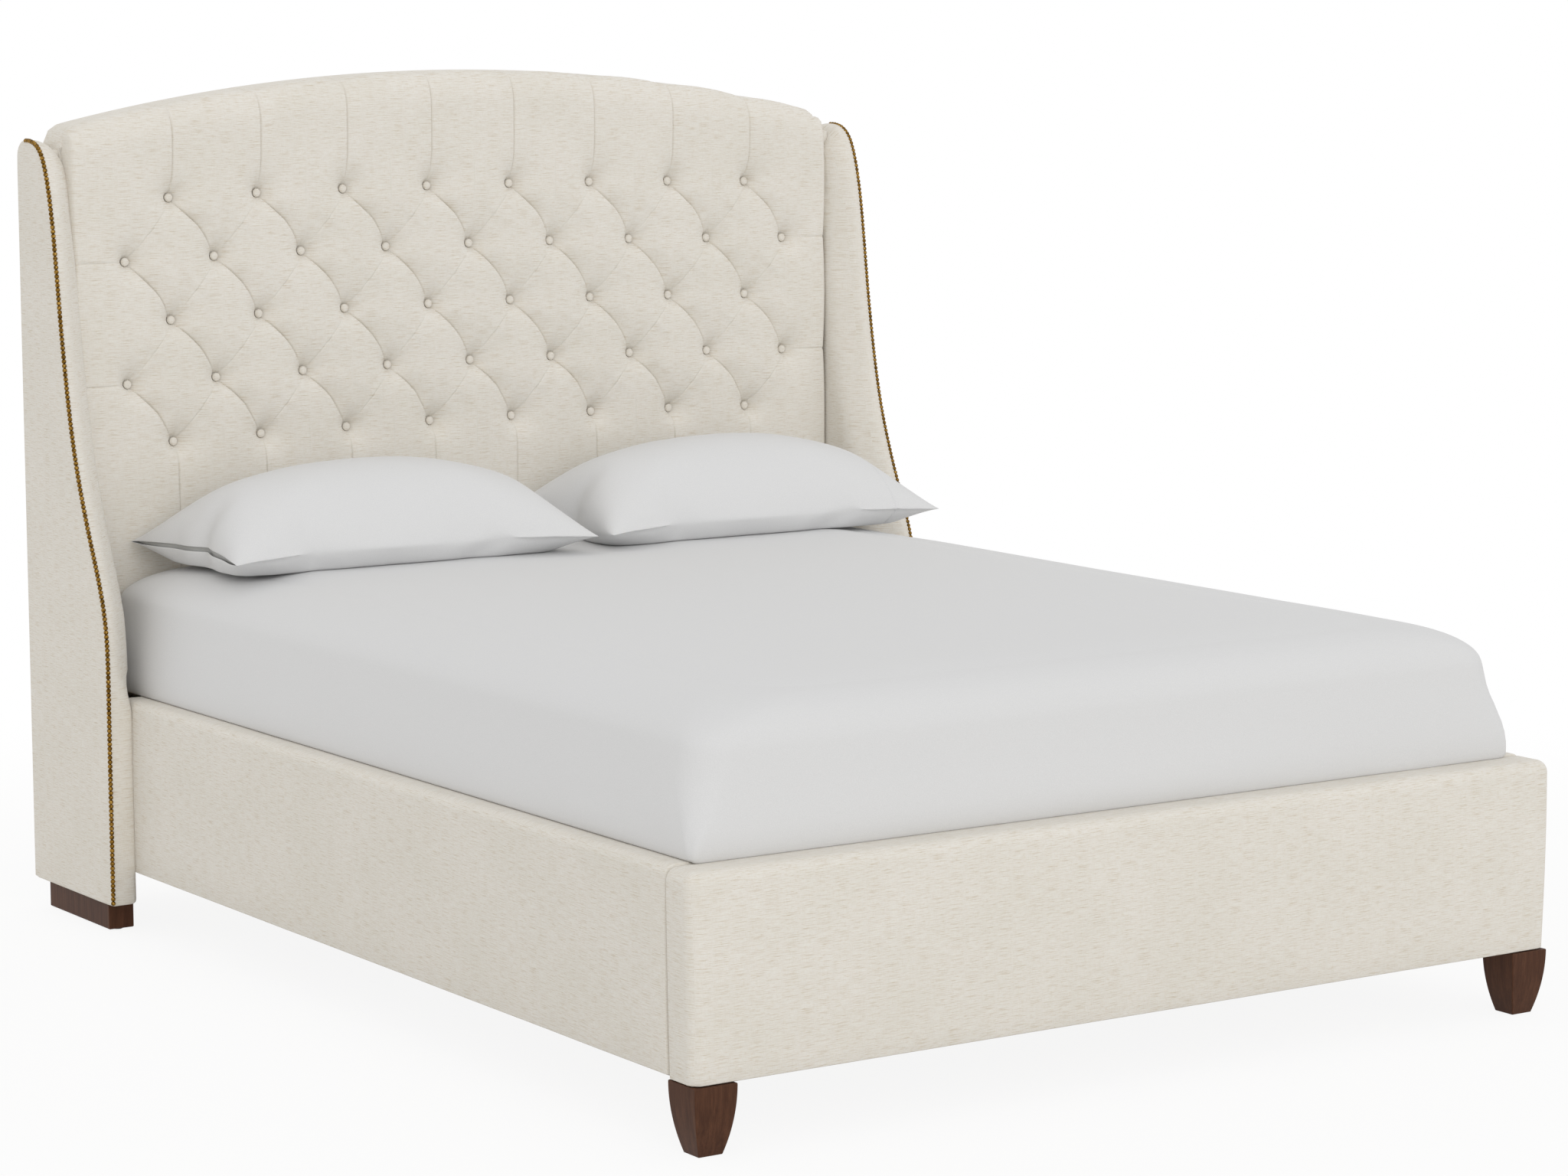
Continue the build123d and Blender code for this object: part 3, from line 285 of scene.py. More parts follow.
# %% Metals and nylon
def plated(name, stops, grit, roughness):
    """A plated metal whose tone changes in patches a few grits across."""
    material, tree = new_material(name)
    place = node(tree, "ShaderNodeTexCoord").outputs["Object"]
    patch = node(tree, "ShaderNodeTexNoise", inputs={
        "Vector": place, "Scale": 1 / (grit * MM), "Detail": 2.0}).outputs["Fac"]
    worn = node(tree, "ShaderNodeMapRange", inputs={
        "Value": patch, "To Min": roughness - 0.08, "To Max": roughness + 0.10})
    bump = node(tree, "ShaderNodeBump", inputs={
        "Height": patch, "Strength": 0.1, "Distance": 0.1 * MM})
    surface(tree, bump, Base_Color=steps(tree, patch, stops), Metallic=1.0,
            Roughness=worn.outputs["Result"])
    return material


BRASS = ((0.32, "#533C16"), (0.55, "#8A682C"), (0.75, "#B8944F"))
antique_brass = plated("antique_brass_plate", BRASS, 5, 0.34)
zinc = plated("bright_zinc_plate", ((0.3, "#A9AAAB"), (0.7, "#C8C9CA")), 8, 0.38)

nylon_black, tree = new_material("black_moulded_nylon")
grain = node(tree, "ShaderNodeTexNoise", inputs={
    "Vector": node(tree, "ShaderNodeTexCoord").outputs["Object"], "Scale": 1500.0}).outputs["Fac"]
bump = node(tree, "ShaderNodeBump", inputs={"Height": grain, "Strength": 0.2, "Distance": 0.05 * MM})
surface(tree, bump, Base_Color=steps(tree, grain, ((0.3, "#1B1B1B"), (0.7, "#262626"))), Roughness=0.55)
print("metals and nylon:", antique_brass.name, zinc.name, nylon_black.name)

# %% [markdown]
# ## Dress the construction
#
# A board or bolt whose shape is right keeps its mesh, and only gets its material. The table
# gives each node's finish, with the pine's grain along the board's length.

# %% Materials of the nodes that stay
NODE_MATERIALS = {
    "footboard_board": pine["x"], "side_rail_board_left": pine["y"],
    "side_rail_board_right": pine["y"], "slat_cleat_left": pine["y"],
    "slat_cleat_right": pine["y"], "slats": pine["x"], "centre_beam": pine["y"],
    "centre_leg_front": pine["z"], "centre_leg_middle": pine["z"], "centre_leg_back": pine["z"],
    "headboard_post_left": pine["z"], "headboard_post_right": pine["z"],
    "headboard_arch_rail": pine["x"], "headboard_middle_rail": pine["x"],
    "headboard_bottom_rail": pine["x"], "headboard_stiles": pine["z"], "frame_dowels": pine["x"],
    "headboard_face_panel": birch_ply, "wing_core_left": birch_ply, "wing_core_right": birch_ply,
    "headboard_lower_board": board_linen, "headboard_back_panel": board_linen,
    "front_leg_left": walnut, "front_leg_right": walnut,
    "wing_foot_left": walnut, "wing_foot_right": walnut, "wing_foot_glides": nylon_black,
    "mattress_core": grey_ticking,
}
for name, obj in nodes.items():
    obj.data.materials.clear()
    obj.data.materials.append(NODE_MATERIALS.get(name, zinc))
print(len(nodes), "nodes of the construction have a material")

# %% [markdown]
# ## Tools for the new pieces
#
# Pieces are modelled with Blender's own operators, as by hand. An operator acts on all that is
# selected, so each tool starts by deselecting everything.


# %% Helpers for pieces
def deselect():
    """Leave edit mode and select nothing."""
    if bpy.context.object and bpy.context.object.mode != "OBJECT":
        bpy.ops.object.mode_set(mode="OBJECT")
    bpy.ops.object.select_all(action="DESELECT")


def take(obj):
    """Select one object and make it active."""
    deselect()
    obj.select_set(True)
    bpy.context.view_layer.objects.active = obj


def named(name):
    """Name the object that was just made, and give it back."""
    obj = bpy.context.object
    obj.name = obj.data.name = name
    return obj


def duplicate(source, name):
    """A copy of an object under a name of its own."""
    take(source)
    bpy.ops.object.duplicate()
    return named(name)


def box_of(name):
    """The two corners of a CAD piece's box, in millimetres."""
    return [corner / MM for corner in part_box(name)]


def edit(obj, mode="EDGE"):
    """Go into edit mode on one object with nothing in it selected."""
    take(obj)
    bpy.ops.object.mode_set(mode="EDIT")
    bpy.ops.mesh.select_mode(type=mode)
    bpy.ops.mesh.select_all(action="DESELECT")


def pick(obj, wanted, kind="edges"):
    """In edit mode, select the edges, faces or verts for which wanted is true."""
    mesh = bmesh.from_edit_mesh(obj.data)
    found = 0
    for part in getattr(mesh, kind):
        if wanted(part):
            part.select_set(True)
            found += 1
    bmesh.update_edit_mesh(obj.data)
    return found


def block(name, low, high):
    """A cube primitive set to these corners, as the start of a piece."""
    deselect()
    bpy.ops.mesh.primitive_cube_add(size=1)
    obj = named(name)
    low, high = Vector(low), Vector(high)
    obj.scale = high - low
    obj.location = (low + high) / 2
    bpy.ops.object.transform_apply(location=True, rotation=True, scale=True)
    return obj


def cut_at(obj, axis, places):
    """Cut a loop across a piece at each place, in millimetres."""
    edit(obj)
    direction = Vector([1.0 if i == axis else 0.0 for i in range(3)])
    for place in places:
        bpy.ops.mesh.select_all(action="SELECT")
        bpy.ops.mesh.bisect(plane_co=direction * place * MM, plane_no=direction)
    bpy.ops.object.mode_set(mode="OBJECT")


def slice_up(obj, axis, low, high, pitch):
    """Cut loops across a piece at even steps, so that it can be shaped between them."""
    count = max(2, round((high - low) / pitch))
    cut_at(obj, axis, [low + index * (high - low) / count for index in range(1, count)])


def sew_rings(mesh, rings):
    """Join each ring of vertices to the next with a band of faces."""
    for a, b in zip(rings, rings[1:]):
        for i in range(len(a)):
            j = (i + 1) % len(a)
            mesh.faces.new((a[i], a[j], b[j], b[i]))


def reshape(obj, move):
    """Move every vertex by a function of its place."""
    for vertex in obj.data.vertices:
        vertex.co = vertex.co + Vector(move(vertex.co))
    obj.data.update()


def lay_weave(obj):
    """Give a piece a UV map in metres: threads run level, and each face is seen square on."""
    layer = obj.data.uv_layers.new(name="weave") if not obj.data.uv_layers else obj.data.uv_layers[0]
    for polygon in obj.data.polygons:
        normal = [abs(v) for v in polygon.normal]
        across = 1 if normal[0] == max(normal) else 0
        up = 1 if normal[2] == max(normal) else 2
        for loop in polygon.loop_indices:
            point = obj.data.vertices[obj.data.loops[loop].vertex_index].co
            layer.data[loop].uv = (point[across], point[up])


def finish_piece(obj, body, material, angle=35, weave=False):
    """Smooth a piece, give it its material, and let it ride on its body."""
    take(obj)
    bpy.ops.object.transform_apply(location=True, rotation=True, scale=True)
    bpy.ops.object.shade_smooth_by_angle(angle=math.radians(angle))
    obj.data.materials.clear()
    obj.data.materials.append(material)
    if weave:
        lay_weave(obj)
    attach(obj, body)
    print(obj.name, "has", len(obj.data.polygons), "faces")
    return obj


print("tools are ready")

# %% [markdown]
# ## The tufted pad
#
# Each button pulls the linen down into a well 33 mm deep, and the spare cloth between two
# buttons folds into a pleat. Between four buttons the foam stands up as a diamond. The pad is
# one padded piece, built as a net whose lines run along the pleats, so a fold is a crisp line
# of vertices. The height over the wells is then worked out from the distance to the nearest
# button, pleat and edge, as an upholsterer would feel it with a hand.

# %% The buttons' pattern, in millimetres
pad_low, pad_high = box_of("headboard_pad")
BOARD_HALF, PAD_BOTTOM, TOP = pad_high.x, pad_low.z, 1546.0
HALF = BOARD_HALF - 16
WELL = pad_high.y - 4
ARCH_RISE = 97
ARCH_RADIUS = (BOARD_HALF**2 + ARCH_RISE**2) / (2 * ARCH_RISE)
ROWS, PITCH, ROW_PITCH, FIRST_ROW, BOW = 5, (BOARD_HALF - 119.2) / 4, 112.9, 1321.7, 6
CROWN, SIDE_ROLL, TOP_ROLL, CORNER, BEND = 33.0, 10.0, 60.0, 30.0, 7.0


def button_place(column, row):
    """A button's x and z: columns count from the middle, rows from the top."""
    bow = BOW * (1 - 2 * (column / 4) ** 2)
    return np.array([column * PITCH, FIRST_ROW - row * ROW_PITCH + bow])


def arch(x):
    """The headboard's top edge at x."""
    return TOP - ARCH_RADIUS + np.sqrt(ARCH_RADIUS**2 - np.asarray(x) ** 2)


buttons = [button_place(i - (count - 1) / 2, row)
           for row, count in enumerate((8, 9, 8, 9, 8)) for i in range(count)]
pleats = []
for row in range(ROWS - 1):
    for column in np.arange(-4, 5) if row % 2 else np.arange(-3.5, 4):
        for step, kind in ((-0.5, "faint"), (0.5, "deep")):
            if abs(column + step) <= (3.5 if row % 2 else 4):
                pleats.append((button_place(column, row), button_place(column + step, row + 1),
                               kind))
for column in np.arange(-3.5, 4):
    high, low = button_place(column, 0), button_place(column, 4)
    pleats.append((np.array([high[0], arch(high[0]) + 20]), high, "upright"))
    pleats.append((low, np.array([low[0], PAD_BOTTOM - 20]), "upright"))
for side in (-4, 4):
    for row in (1, 3):
        start = button_place(side, row)
        pleats.append((start, np.array([math.copysign(HALF + 20, side), start[1]]), "level"))
print(len(buttons), "buttons and", len(pleats), "pleats")

# %% [markdown]
# The folds aren't alike. Where the cloth was tucked from the left, the lower diamond stands
# over a deep fold and its edge is sharp, and the cloth beyond rises slowly. The folds that run
# the other way are pulled nearly flat. Each fold takes a bite out of the full height, and the
# lowest bite wins. Small gathers fan out above each button. For each kind of fold, the table
# gives its depth, how far its steep and its gentle side reach, and how deep the slit is where
# the cloth is tucked in.


# %% Height of the cloth over the wells
FOLDS = {"deep": (17.0, 7.0, 42.0, 2.6), "faint": (0.6, 3.0, 7.0, 0.7),
         "upright": (3.2, 2.6, 20.0, 1.8), "level": (1.2, 3.0, 5.0, 1.1)}
SLIT_WIDTH, GATHER, FULLEST = 1.3, 1.7, math.radians(48)


def quarter(distance, reach):
    """A quarter circle: steep at nought, level from reach on."""
    return np.sqrt(np.clip(1 - (1 - np.clip(distance / reach, 0, 1)) ** 2, 0, 1))


def cloth_height(points, edge):
    """Height over the wells of points given as x and z, with their distance to the edge."""
    away = np.array([np.hypot(*(points - b).T) for b in buttons])
    nearest, button = away.argmin(0), away.min(0)
    off_x, off_z = (points - np.array(buttons)[nearest]).T
    angle = np.arctan2(off_z, off_x)
    upper_right = np.cos(angle - FULLEST)
    full = CROWN * (1 - np.exp(-np.clip(button - 7, 0, None) / (16 + 7 * upper_right)))
    spread = np.clip((button - 6) / 55, 0, 1) ** 0.6
    height = full.copy()
    for start, end, kind in pleats:
        depth, under, over, slit = FOLDS[kind]
        run = end - start
        share = np.clip(((points - start) @ run) / (run @ run), 0, 1)
        offset = points - start - share[:, None] * run
        distance = np.hypot(*offset.T)
        on_left = offset @ np.array([run[1], -run[0]]) > 0
        if kind == "deep":
            depth = depth * (1 - 0.45 * np.clip((share - 0.4) / 0.4, 0, 1))
        steep = quarter(distance, 4 + (under - 4) * spread)
        gentle = np.sin(np.pi / 2 * np.clip(distance / (4 + (over - 4) * spread), 0, 1)) ** 0.85
        height = np.minimum(height, full - depth * spread * (1 - np.where(on_left, steep, gentle))
                            - slit * spread * np.exp(-(distance / SLIT_WIDTH) ** 2))
    fan = np.exp(-np.clip(button - 8, 0, None) / 19) * np.clip((button - 8) / 6, 0, 1)
    fan = fan * (0.2 + 0.8 * np.clip(upper_right, 0, 1))
    height = height + GATHER * fan * np.cos(10 * angle + nearest * 1.7)
    return (height + 4) * quarter(edge, 1.0) - 4


print("folds:", FOLDS)

# %% [markdown]
# Seen from the front, a deep fold isn't straight: the fuller diamond below pushes it up and to
# the right, between one button and the next. The net is bent in that way after its heights
# are worked out, so the folds and the net's lines bend together.


# %% Bend of the deep folds
def bent(points):
    """Move points up and right where they lie near the middle of a deep fold."""
    column = points[:, 0] / PITCH
    row = (FIRST_ROW + BOW * (1 - 2 * (column / 4) ** 2) - points[:, 1]) / ROW_PITCH
    along, aside = row / 2 + column + 0.5, row / 2 - column + 0.5
    amount = BEND * np.sin(np.pi * along) ** 2 * np.cos(np.pi * aside) ** 2
    inside = [row / 0.5, (ROWS - 1 - row) / 0.5, (4.1 - np.abs(column)) / 0.4]
    for share in inside:
        amount = amount * np.clip(share, 0, 1)
    return points + amount[:, None] * np.array([0.78, 0.62])


print("the deep folds bend by up to", BEND, "mm")

# %% [markdown]
# The net has one patch for each diamond and one for each stretch of border between a pleat and
# the crest beside it. Its lines crowd towards the pleats and the edge, where the cloth turns.

# %% Net of the pad
FINE, LONG = 34, 34


def smooth(share):
    """Nought to one with level ends."""
    share = np.clip(share, 0, 1)
    return share * share * (3 - 2 * share)


def crowded(count, both=1.0):
    """Shares from 0 to 1 that crowd towards both ends."""
    even = np.linspace(0, 1, count + 1)
    return (1 - 0.85 * both) * even + 0.85 * both * (0.5 - 0.5 * np.cos(np.pi * even))


def edge_of(point, way):
    """Where a line straight up, down or sideways from a point meets the pad's outline."""
    if way == "up":
        return np.array([point[0], arch(point[0])])
    if way == "down":
        return np.array([point[0], PAD_BOTTOM])
    return np.array([way * HALF, point[1]])


patches = []
across = crowded(FINE)
for row in range(1, ROWS - 1):
    width = 8 if row % 2 else 7
    for column in np.arange(width) - (width - 1) / 2:
        west, east = button_place(column - 0.5, row), button_place(column + 0.5, row)
        north, south = button_place(column, row - 1), button_place(column, row + 1)
        u, v = np.meshgrid(across, across, indexing="ij")
        u, v = u[..., None], v[..., None]
        patches.append(west * (1 - u) * (1 - v) + north * u * (1 - v)
                       + south * (1 - u) * v + east * u * v)


def border_patch(fold, way):
    """A patch from a fold of the pattern straight out to the outline."""
    out = crowded(LONG)[:, None]
    return np.array([point * (1 - out) + edge_of(point, way) * out for point in fold])


def fold_line(start, end):
    """Points along a fold, crowded at its ends."""
    return [start * (1 - t) + end * t for t in across]


for way, outer, inner in (("up", 0, 1), ("down", 4, 3)):
    for column in np.arange(-3, 4):
        for side in (-0.5, 0.5):
            patches.append(border_patch(fold_line(button_place(column + side, outer),
                                                  button_place(column, inner)), way))
    for side in (-1, 1):
        near, far = button_place(side * 3.5, outer), button_place(side * 4, inner)
        corner = np.array([side * HALF, arch(HALF) if way == "up" else PAD_BOTTOM])
        fold = fold_line(near, far)
        half_way = crowded(FINE // 2)
        rim = [near[0] * (1 - t) + corner[0] * t for t in half_way]
        rim = [np.array([x, arch(x) if way == "up" else PAD_BOTTOM]) for x in rim]
        side_rim = [np.array([corner[0], corner[1] * (1 - t) + far[1] * t]) for t in half_way[1:]]
        out = crowded(LONG)[:, None]
        patches.append(np.array([a * (1 - out) + b * out for a, b in zip(fold, rim + side_rim)]))
for side in (-1, 1):
    for row in (1, 3):
        patches.append(border_patch(fold_line(button_place(side * 4, row),
                                              button_place(side * 3.5, 2)), side))
print(len(patches), "patches")

# %% [markdown]
# A point of the flat net goes to its place in four steps. It is raised to the cloth's height. The
# two top corners are rounded. The deep folds bend. Then the edges are set right: the level folds
# pull the sides in, the pleats pull the top down, the left edge reaches further out, and the
# right edge is tucked in. In the photograph the headboard stands a little to the left.

# %% Where a point of the net goes
LEFT_REACH, RIGHT_TUCK, REACH_FROM = 14.0, 7.0, 740
SCALLOP, SCALLOP_FROM, SIDE_PULL = 5.5, 1370, 4


def laid_out(flat):
    """Places in mm for points of the flat net, and their heights over the wells."""
    edge = np.minimum.reduce([(HALF - np.abs(flat[:, 0])) / SIDE_ROLL,
                              (flat[:, 1] - PAD_BOTTOM) / SIDE_ROLL,
                              (arch(flat[:, 0]) - flat[:, 1]) / TOP_ROLL])
    uneven = np.array([noise.noise((a / 90, b / 90, 3.1)) for a, b in flat])
    height = cloth_height(flat, np.clip(edge, 0, None)) + 0.8 * uneven * np.clip(edge, 0, 1)
    beyond = np.stack([np.abs(flat[:, 0]) - (HALF - CORNER),
                       flat[:, 1] - (arch(HALF - CORNER) - CORNER)], 1)
    in_corner = (beyond > 0).all(1)
    reach = np.maximum(np.hypot(*beyond.T), 1e-6)
    pull = np.where(in_corner, np.clip(beyond.max(1), 0, CORNER) / reach, 1)
    x = np.where(in_corner, np.sign(flat[:, 0]) * (HALF - CORNER + beyond[:, 0] * pull), flat[:, 0])
    z = np.where(in_corner, arch(HALF - CORNER) - CORNER + beyond[:, 1] * pull, flat[:, 1])
    shift = bent(flat) - flat
    levels = np.array([button_place(4, row)[1] for row in (-1, 1, 3)])
    from_level = np.clip(np.abs(flat[:, 1:] - levels).min(1) / ROW_PITCH, 0, 1)
    pulled = SIDE_PULL * (1 - from_level) ** 2 * np.clip((np.abs(flat[:, 0]) - REACH_FROM) / 80, 0, 1)
    x = x - LEFT_REACH * smooth((-x - REACH_FROM) / (HALF - REACH_FROM))
    x = x - RIGHT_TUCK * smooth((x - REACH_FROM) / (HALF - REACH_FROM))
    x, z = x + shift[:, 0] - np.sign(x) * pulled, z + shift[:, 1]
    at_side = (np.abs(flat[:, 0]) > HALF - 0.01) & (flat[:, 1] < arch(HALF) - CORNER - 40)
    x = np.where(at_side, np.sign(x) * (BOARD_HALF - 0.5), x)
    from_pleat = np.abs(flat[:, :1] - np.arange(-4.5, 5) * PITCH).min(1) / (PITCH / 2)
    near_top = np.clip((flat[:, 1] - SCALLOP_FROM) / 100, 0, 1)
    return x, z - SCALLOP * np.clip(1 - from_pleat, 0, 1) ** 2.2 * near_top, height


print("the pad reaches", LEFT_REACH, "mm further left and", RIGHT_TUCK, "mm less to the right")

# %% [markdown]
# The patches are joined where their rims meet, and closed at the back, where the pad is stapled
# to its board. The weave's map is laid on from the front, so the threads run level.

# %% The pad's mesh
deselect()
bpy.ops.mesh.primitive_plane_add(size=1)
tufted_pad = named("tufted_pad")
net = bmesh.new()
for patch in patches:
    rows, columns = patch.shape[:2]
    corners = [net.verts.new((x * MM, (WELL - height) * MM, z * MM))
               for x, z, height in zip(*laid_out(patch.reshape(-1, 2)))]
    for i in range(rows - 1):
        for j in range(columns - 1):
            net.faces.new([corners[i * columns + j], corners[i * columns + j + 1],
                           corners[(i + 1) * columns + j + 1], corners[(i + 1) * columns + j]])
bmesh.ops.remove_doubles(net, verts=net.verts, dist=0.35 * MM)
rim_edges = [e for e in net.edges if e.is_boundary]
bmesh.ops.contextual_create(net, geom=rim_edges)
bmesh.ops.recalc_face_normals(net, faces=net.faces)
print("open edges left in the pad:", sum(e.is_boundary for e in net.edges))
net.to_mesh(tufted_pad.data)
net.free()
finish_piece(tufted_pad, "frame", oatmeal_linen, angle=50)
layer = tufted_pad.data.uv_layers.new(name="weave")
for loop in tufted_pad.data.loops:
    point = tufted_pad.data.vertices[loop.vertex_index].co
    layer.data[loop.index].uv = (point.x, point.z)
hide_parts("headboard_pad")

# %% [markdown]
# ## Ends that the linen covers
#
# The plywood panel and the posts behind the pad end beyond its rounded corners. The upholsterer
# pulls the linen round these ends and staples it behind. So the panel is cut along its sides and
# the posts near their ends, and the parts beyond the cut get the linen's material. A CAD mesh is
# loose triangles, so its copy is merged before it is cut.


# %% Covered ends
def covered_end(name, node_name, material, axis, places, beyond):
    """A copy of a CAD piece that wears linen on the faces where beyond is true."""
    obj = duplicate(nodes[node_name], name)
    edit(obj, "VERT")
    bpy.ops.mesh.select_all(action="SELECT")
    bpy.ops.mesh.remove_doubles(threshold=0.001 * MM)
    cut_at(obj, axis, places)
    finish_piece(obj, "frame", material, weave=True)
    obj.data.materials.append(oatmeal_linen)
    for face in obj.data.polygons:
        face.material_index = int(beyond(face))
    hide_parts(node_name)


PANEL_CUT, POST_LOW, POST_HIGH = BOARD_HALF - 44, 150, 1330
covered_end("face_panel_birch", "headboard_face_panel", birch_ply, 0,
            (-PANEL_CUT, PANEL_CUT),
            lambda face: abs(face.center.x) > PANEL_CUT * MM or face.normal.z > 0.5)
for side in ("left", "right"):
    covered_end(f"post_pine_{side}", f"headboard_post_{side}", pine["z"], 2,
                (POST_LOW, POST_HIGH),
                lambda face: not POST_LOW * MM < face.center.z < POST_HIGH * MM)

# %% [markdown]
# ## Covered buttons
#
# A covered button is a tin dome with linen drawn over it. One profile is spun round once, and
# the button is then copied to its 42 places, each turned a little so that no two weaves match.


# %% Buttons
def turned(name, profile, count):
    """Spin a profile of (radius, height) points in mm about the Z axis into a closed piece."""
    deselect()
    bpy.ops.mesh.primitive_plane_add(size=1)
    obj = named(name)
    outline = bmesh.new()
    chain = [outline.verts.new((r * MM, 0, h * MM)) for r, h in profile]
    for a, b in zip(chain, chain[1:]):
        outline.edges.new((a, b))
    outline.to_mesh(obj.data)
    outline.free()
    edit(obj, "VERT")
    bpy.ops.mesh.select_all(action="SELECT")
    bpy.ops.mesh.spin(steps=count, angle=math.tau, center=(0, 0, 0), axis=(0, 0, 1))
    bpy.ops.mesh.select_all(action="SELECT")
    bpy.ops.mesh.remove_doubles(threshold=0.02 * MM)
    bpy.ops.mesh.normals_make_consistent(inside=False)
    bpy.ops.object.mode_set(mode="OBJECT")
    return obj


def copies(source, places):
    """Copy a piece to each place, every copy with its own mesh, and join them under its name."""
    made = []
    for place in places:
        extra = source.copy()
        extra.data = source.data.copy()
        extra.data.transform(place)
        bpy.context.scene.collection.objects.link(extra)
        made.append(extra)
    name = source.name
    bpy.data.objects.remove(source)
    deselect()
    for extra in made:
        extra.select_set(True)
    bpy.context.view_layer.objects.active = made[0]
    bpy.ops.object.join()
    made[0].name = made[0].data.name = name
    return made[0]


BUTTON = [(0, 0.2), (4.8, 0.2), (6.6, 3.0), (7.7, 5.6), (8.1, 7.2), (7.7, 8.6), (6.6, 9.8),
          (4.9, 10.7), (2.6, 11.2), (0, 11.4)]
button = turned("covered_buttons", BUTTON, 20)
facing = Matrix.Rotation(math.radians(90), 4, "X")
button_places = [Matrix.Translation((x * MM, WELL * MM, z * MM)) @ facing
                 @ Matrix.Rotation(index * 2.4, 4, "Z") for index, (x, z) in enumerate(buttons)]
covered_buttons = copies(button, button_places)
finish_piece(covered_buttons, "frame", oatmeal_linen, angle=60, weave=True)
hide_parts("tuft_buttons")

# %% [markdown]
# ## Wings
#
# A wing is a plywood shape in foam and linen. Its front edge stands straight up to the
# mattress's top and then sweeps back to the headboard. The outline is drawn once as points of
# height and depth, read off the construction. A smooth line runs through them.

# %% The wing's outline
WING_FRONT = [(57.6, 771), (180, 771), (320, 771), (440, 770.5), (500, 770.8), (540, 773), (578, 779),
              (616, 789.5), (656, 805.5), (695, 823.5), (735, 842), (775, 859), (815, 874.5),
              (856, 888.5), (897, 900), (937, 909.5), (978, 918), (1019, 925.5), (1060, 932.5),
              (1102, 939), (1142, 944.5), (1183, 950), (1225, 956), (1266, 962), (1307, 970),
              (1345, 979.5), (1374, 989.5)]
WING_SHOULDER = [(1374, 989.5), (1397, 1001), (1414, 1017), (1424, 1036)]
wing_low, wing_high = box_of("wing_pad_right")
WING_IN, WING_OUT, WING_BACK, WING_TOP = wing_low.x, wing_high.x, wing_high.y, wing_high.z
WING_FLOOR = WING_FRONT[0][0]


def smooth_through(points, pitch):
    """A smooth line through points (Catmull-Rom), given back at an even pitch."""
    p = np.array(points, float)
    p = np.concatenate([[2 * p[0] - p[1]], p, [2 * p[-1] - p[-2]]])
    line = []
    for a, b, c, d in zip(p, p[1:], p[2:], p[3:]):
        for t in np.linspace(0, 1, 12, endpoint=False):
            line.append(0.5 * (2 * b + (c - a) * t + (2 * a - 5 * b + 4 * c - d) * t**2
                               + (3 * b - a - 3 * c + d) * t**3))
    line = np.array(line + [p[-2]])
    along = np.concatenate([[0], np.cumsum(np.hypot(*np.diff(line, axis=0).T))])
    at = np.linspace(0, along[-1], max(2, round(along[-1] / pitch)))
    return np.stack([np.interp(at, along, line[:, k]) for k in range(line.shape[1])], 1)


def arc(centre, radius, start, end, count):
    """Points on an arc in the same plane, from one angle in degrees to another."""
    angles = np.radians(np.linspace(start, end, count))
    return np.stack([centre[0] + radius * np.sin(angles), centre[1] + radius * np.cos(angles)], 1)


front_line = smooth_through(WING_FRONT, 22)
shoulder = smooth_through([*WING_SHOULDER, (WING_TOP, 1058)], 7)
back_corner = arc((WING_TOP - 30, WING_BACK - 30), 30, 90, 0, 9)
wing_outline = np.concatenate([front_line[:-1], shoulder, back_corner,
                               [(z, WING_BACK) for z in np.linspace(WING_TOP - 60, WING_FLOOR, 50)]])
print("wing outline has", len(wing_outline), "points")

# %% [markdown]
# The filled outline is one big face. It is pushed out to the wing's thickness, and cuts every
# 25 mm turn it into a net that can be shaped. Its edges are rounded: softly inside, where thick
# foam is rolled over, and tightly outside, where the nails pull the linen down. The inner side
# swells towards the tufted pad above the rail and is pressed flat beside it.


# %% Tools for the wings
def nearest_on_line(points, line):
    """For each point: how far an open line is, and the way inwards from its nearest spot."""
    run = np.gradient(line, axis=0)
    inward = np.stack([-run[:, 1], run[:, 0]], 1) / np.hypot(*run.T)[:, None]
    best, way = np.full(len(points), 1e9), np.zeros_like(points)
    for a, b, way_a, way_b in zip(line, line[1:], inward, inward[1:]):
        step = b - a
        share = np.clip(((points - a) @ step) / max(step @ step, 1e-9), 0, 1)[:, None]
        away = np.hypot(*(points - a - share * step).T)
        closer = away < best
        way[closer] = (way_a * (1 - share) + way_b * share)[closer]
        best = np.minimum(best, away)
    return best, way


NAIL_ROUND = 5.0
SWELL_IN, SWELL_OUT, FLOOR_ROUND, PRESSED = 17.5, 1.4, 4.0, 2.0
SWELL_BACK, SWELL_FADE, RAIL_TOP = 1018, 22, 400
LOW_END_X, LOW_END_Y = 868.6, 935.5
INNER_RINGS, OUTER_RINGS = (2.5, 7, 13, 20, 28), (0.8, 1.8, 3.2, 5)
padded_edge = np.vstack([front_line, shoulder[1:], [(WING_TOP, WING_BACK - 30)]])


def round_corner(x, points, line, core_x, reach_x, reach_in):
    """Move the points near an edge onto a quarter ellipse, reach_x wide and reach_in deep."""
    away, way = nearest_on_line(points, line)
    share_x = np.clip((x - core_x) / reach_x, 0, 1)
    share_in = np.clip((reach_in - away) / reach_in, 0, 1)
    length = np.maximum(np.hypot(share_x, share_in), 1e-9)
    scale = np.where(length > 1e-6, np.maximum(share_x, share_in) / length, 1)
    both = (share_x > 0) & (share_in > 0)
    new_x = np.where(both, core_x + share_x * scale * reach_x, x)
    deeper = np.where(both, reach_in - share_in * scale * reach_in - away, 0)
    return new_x, points + way * deeper[:, None]


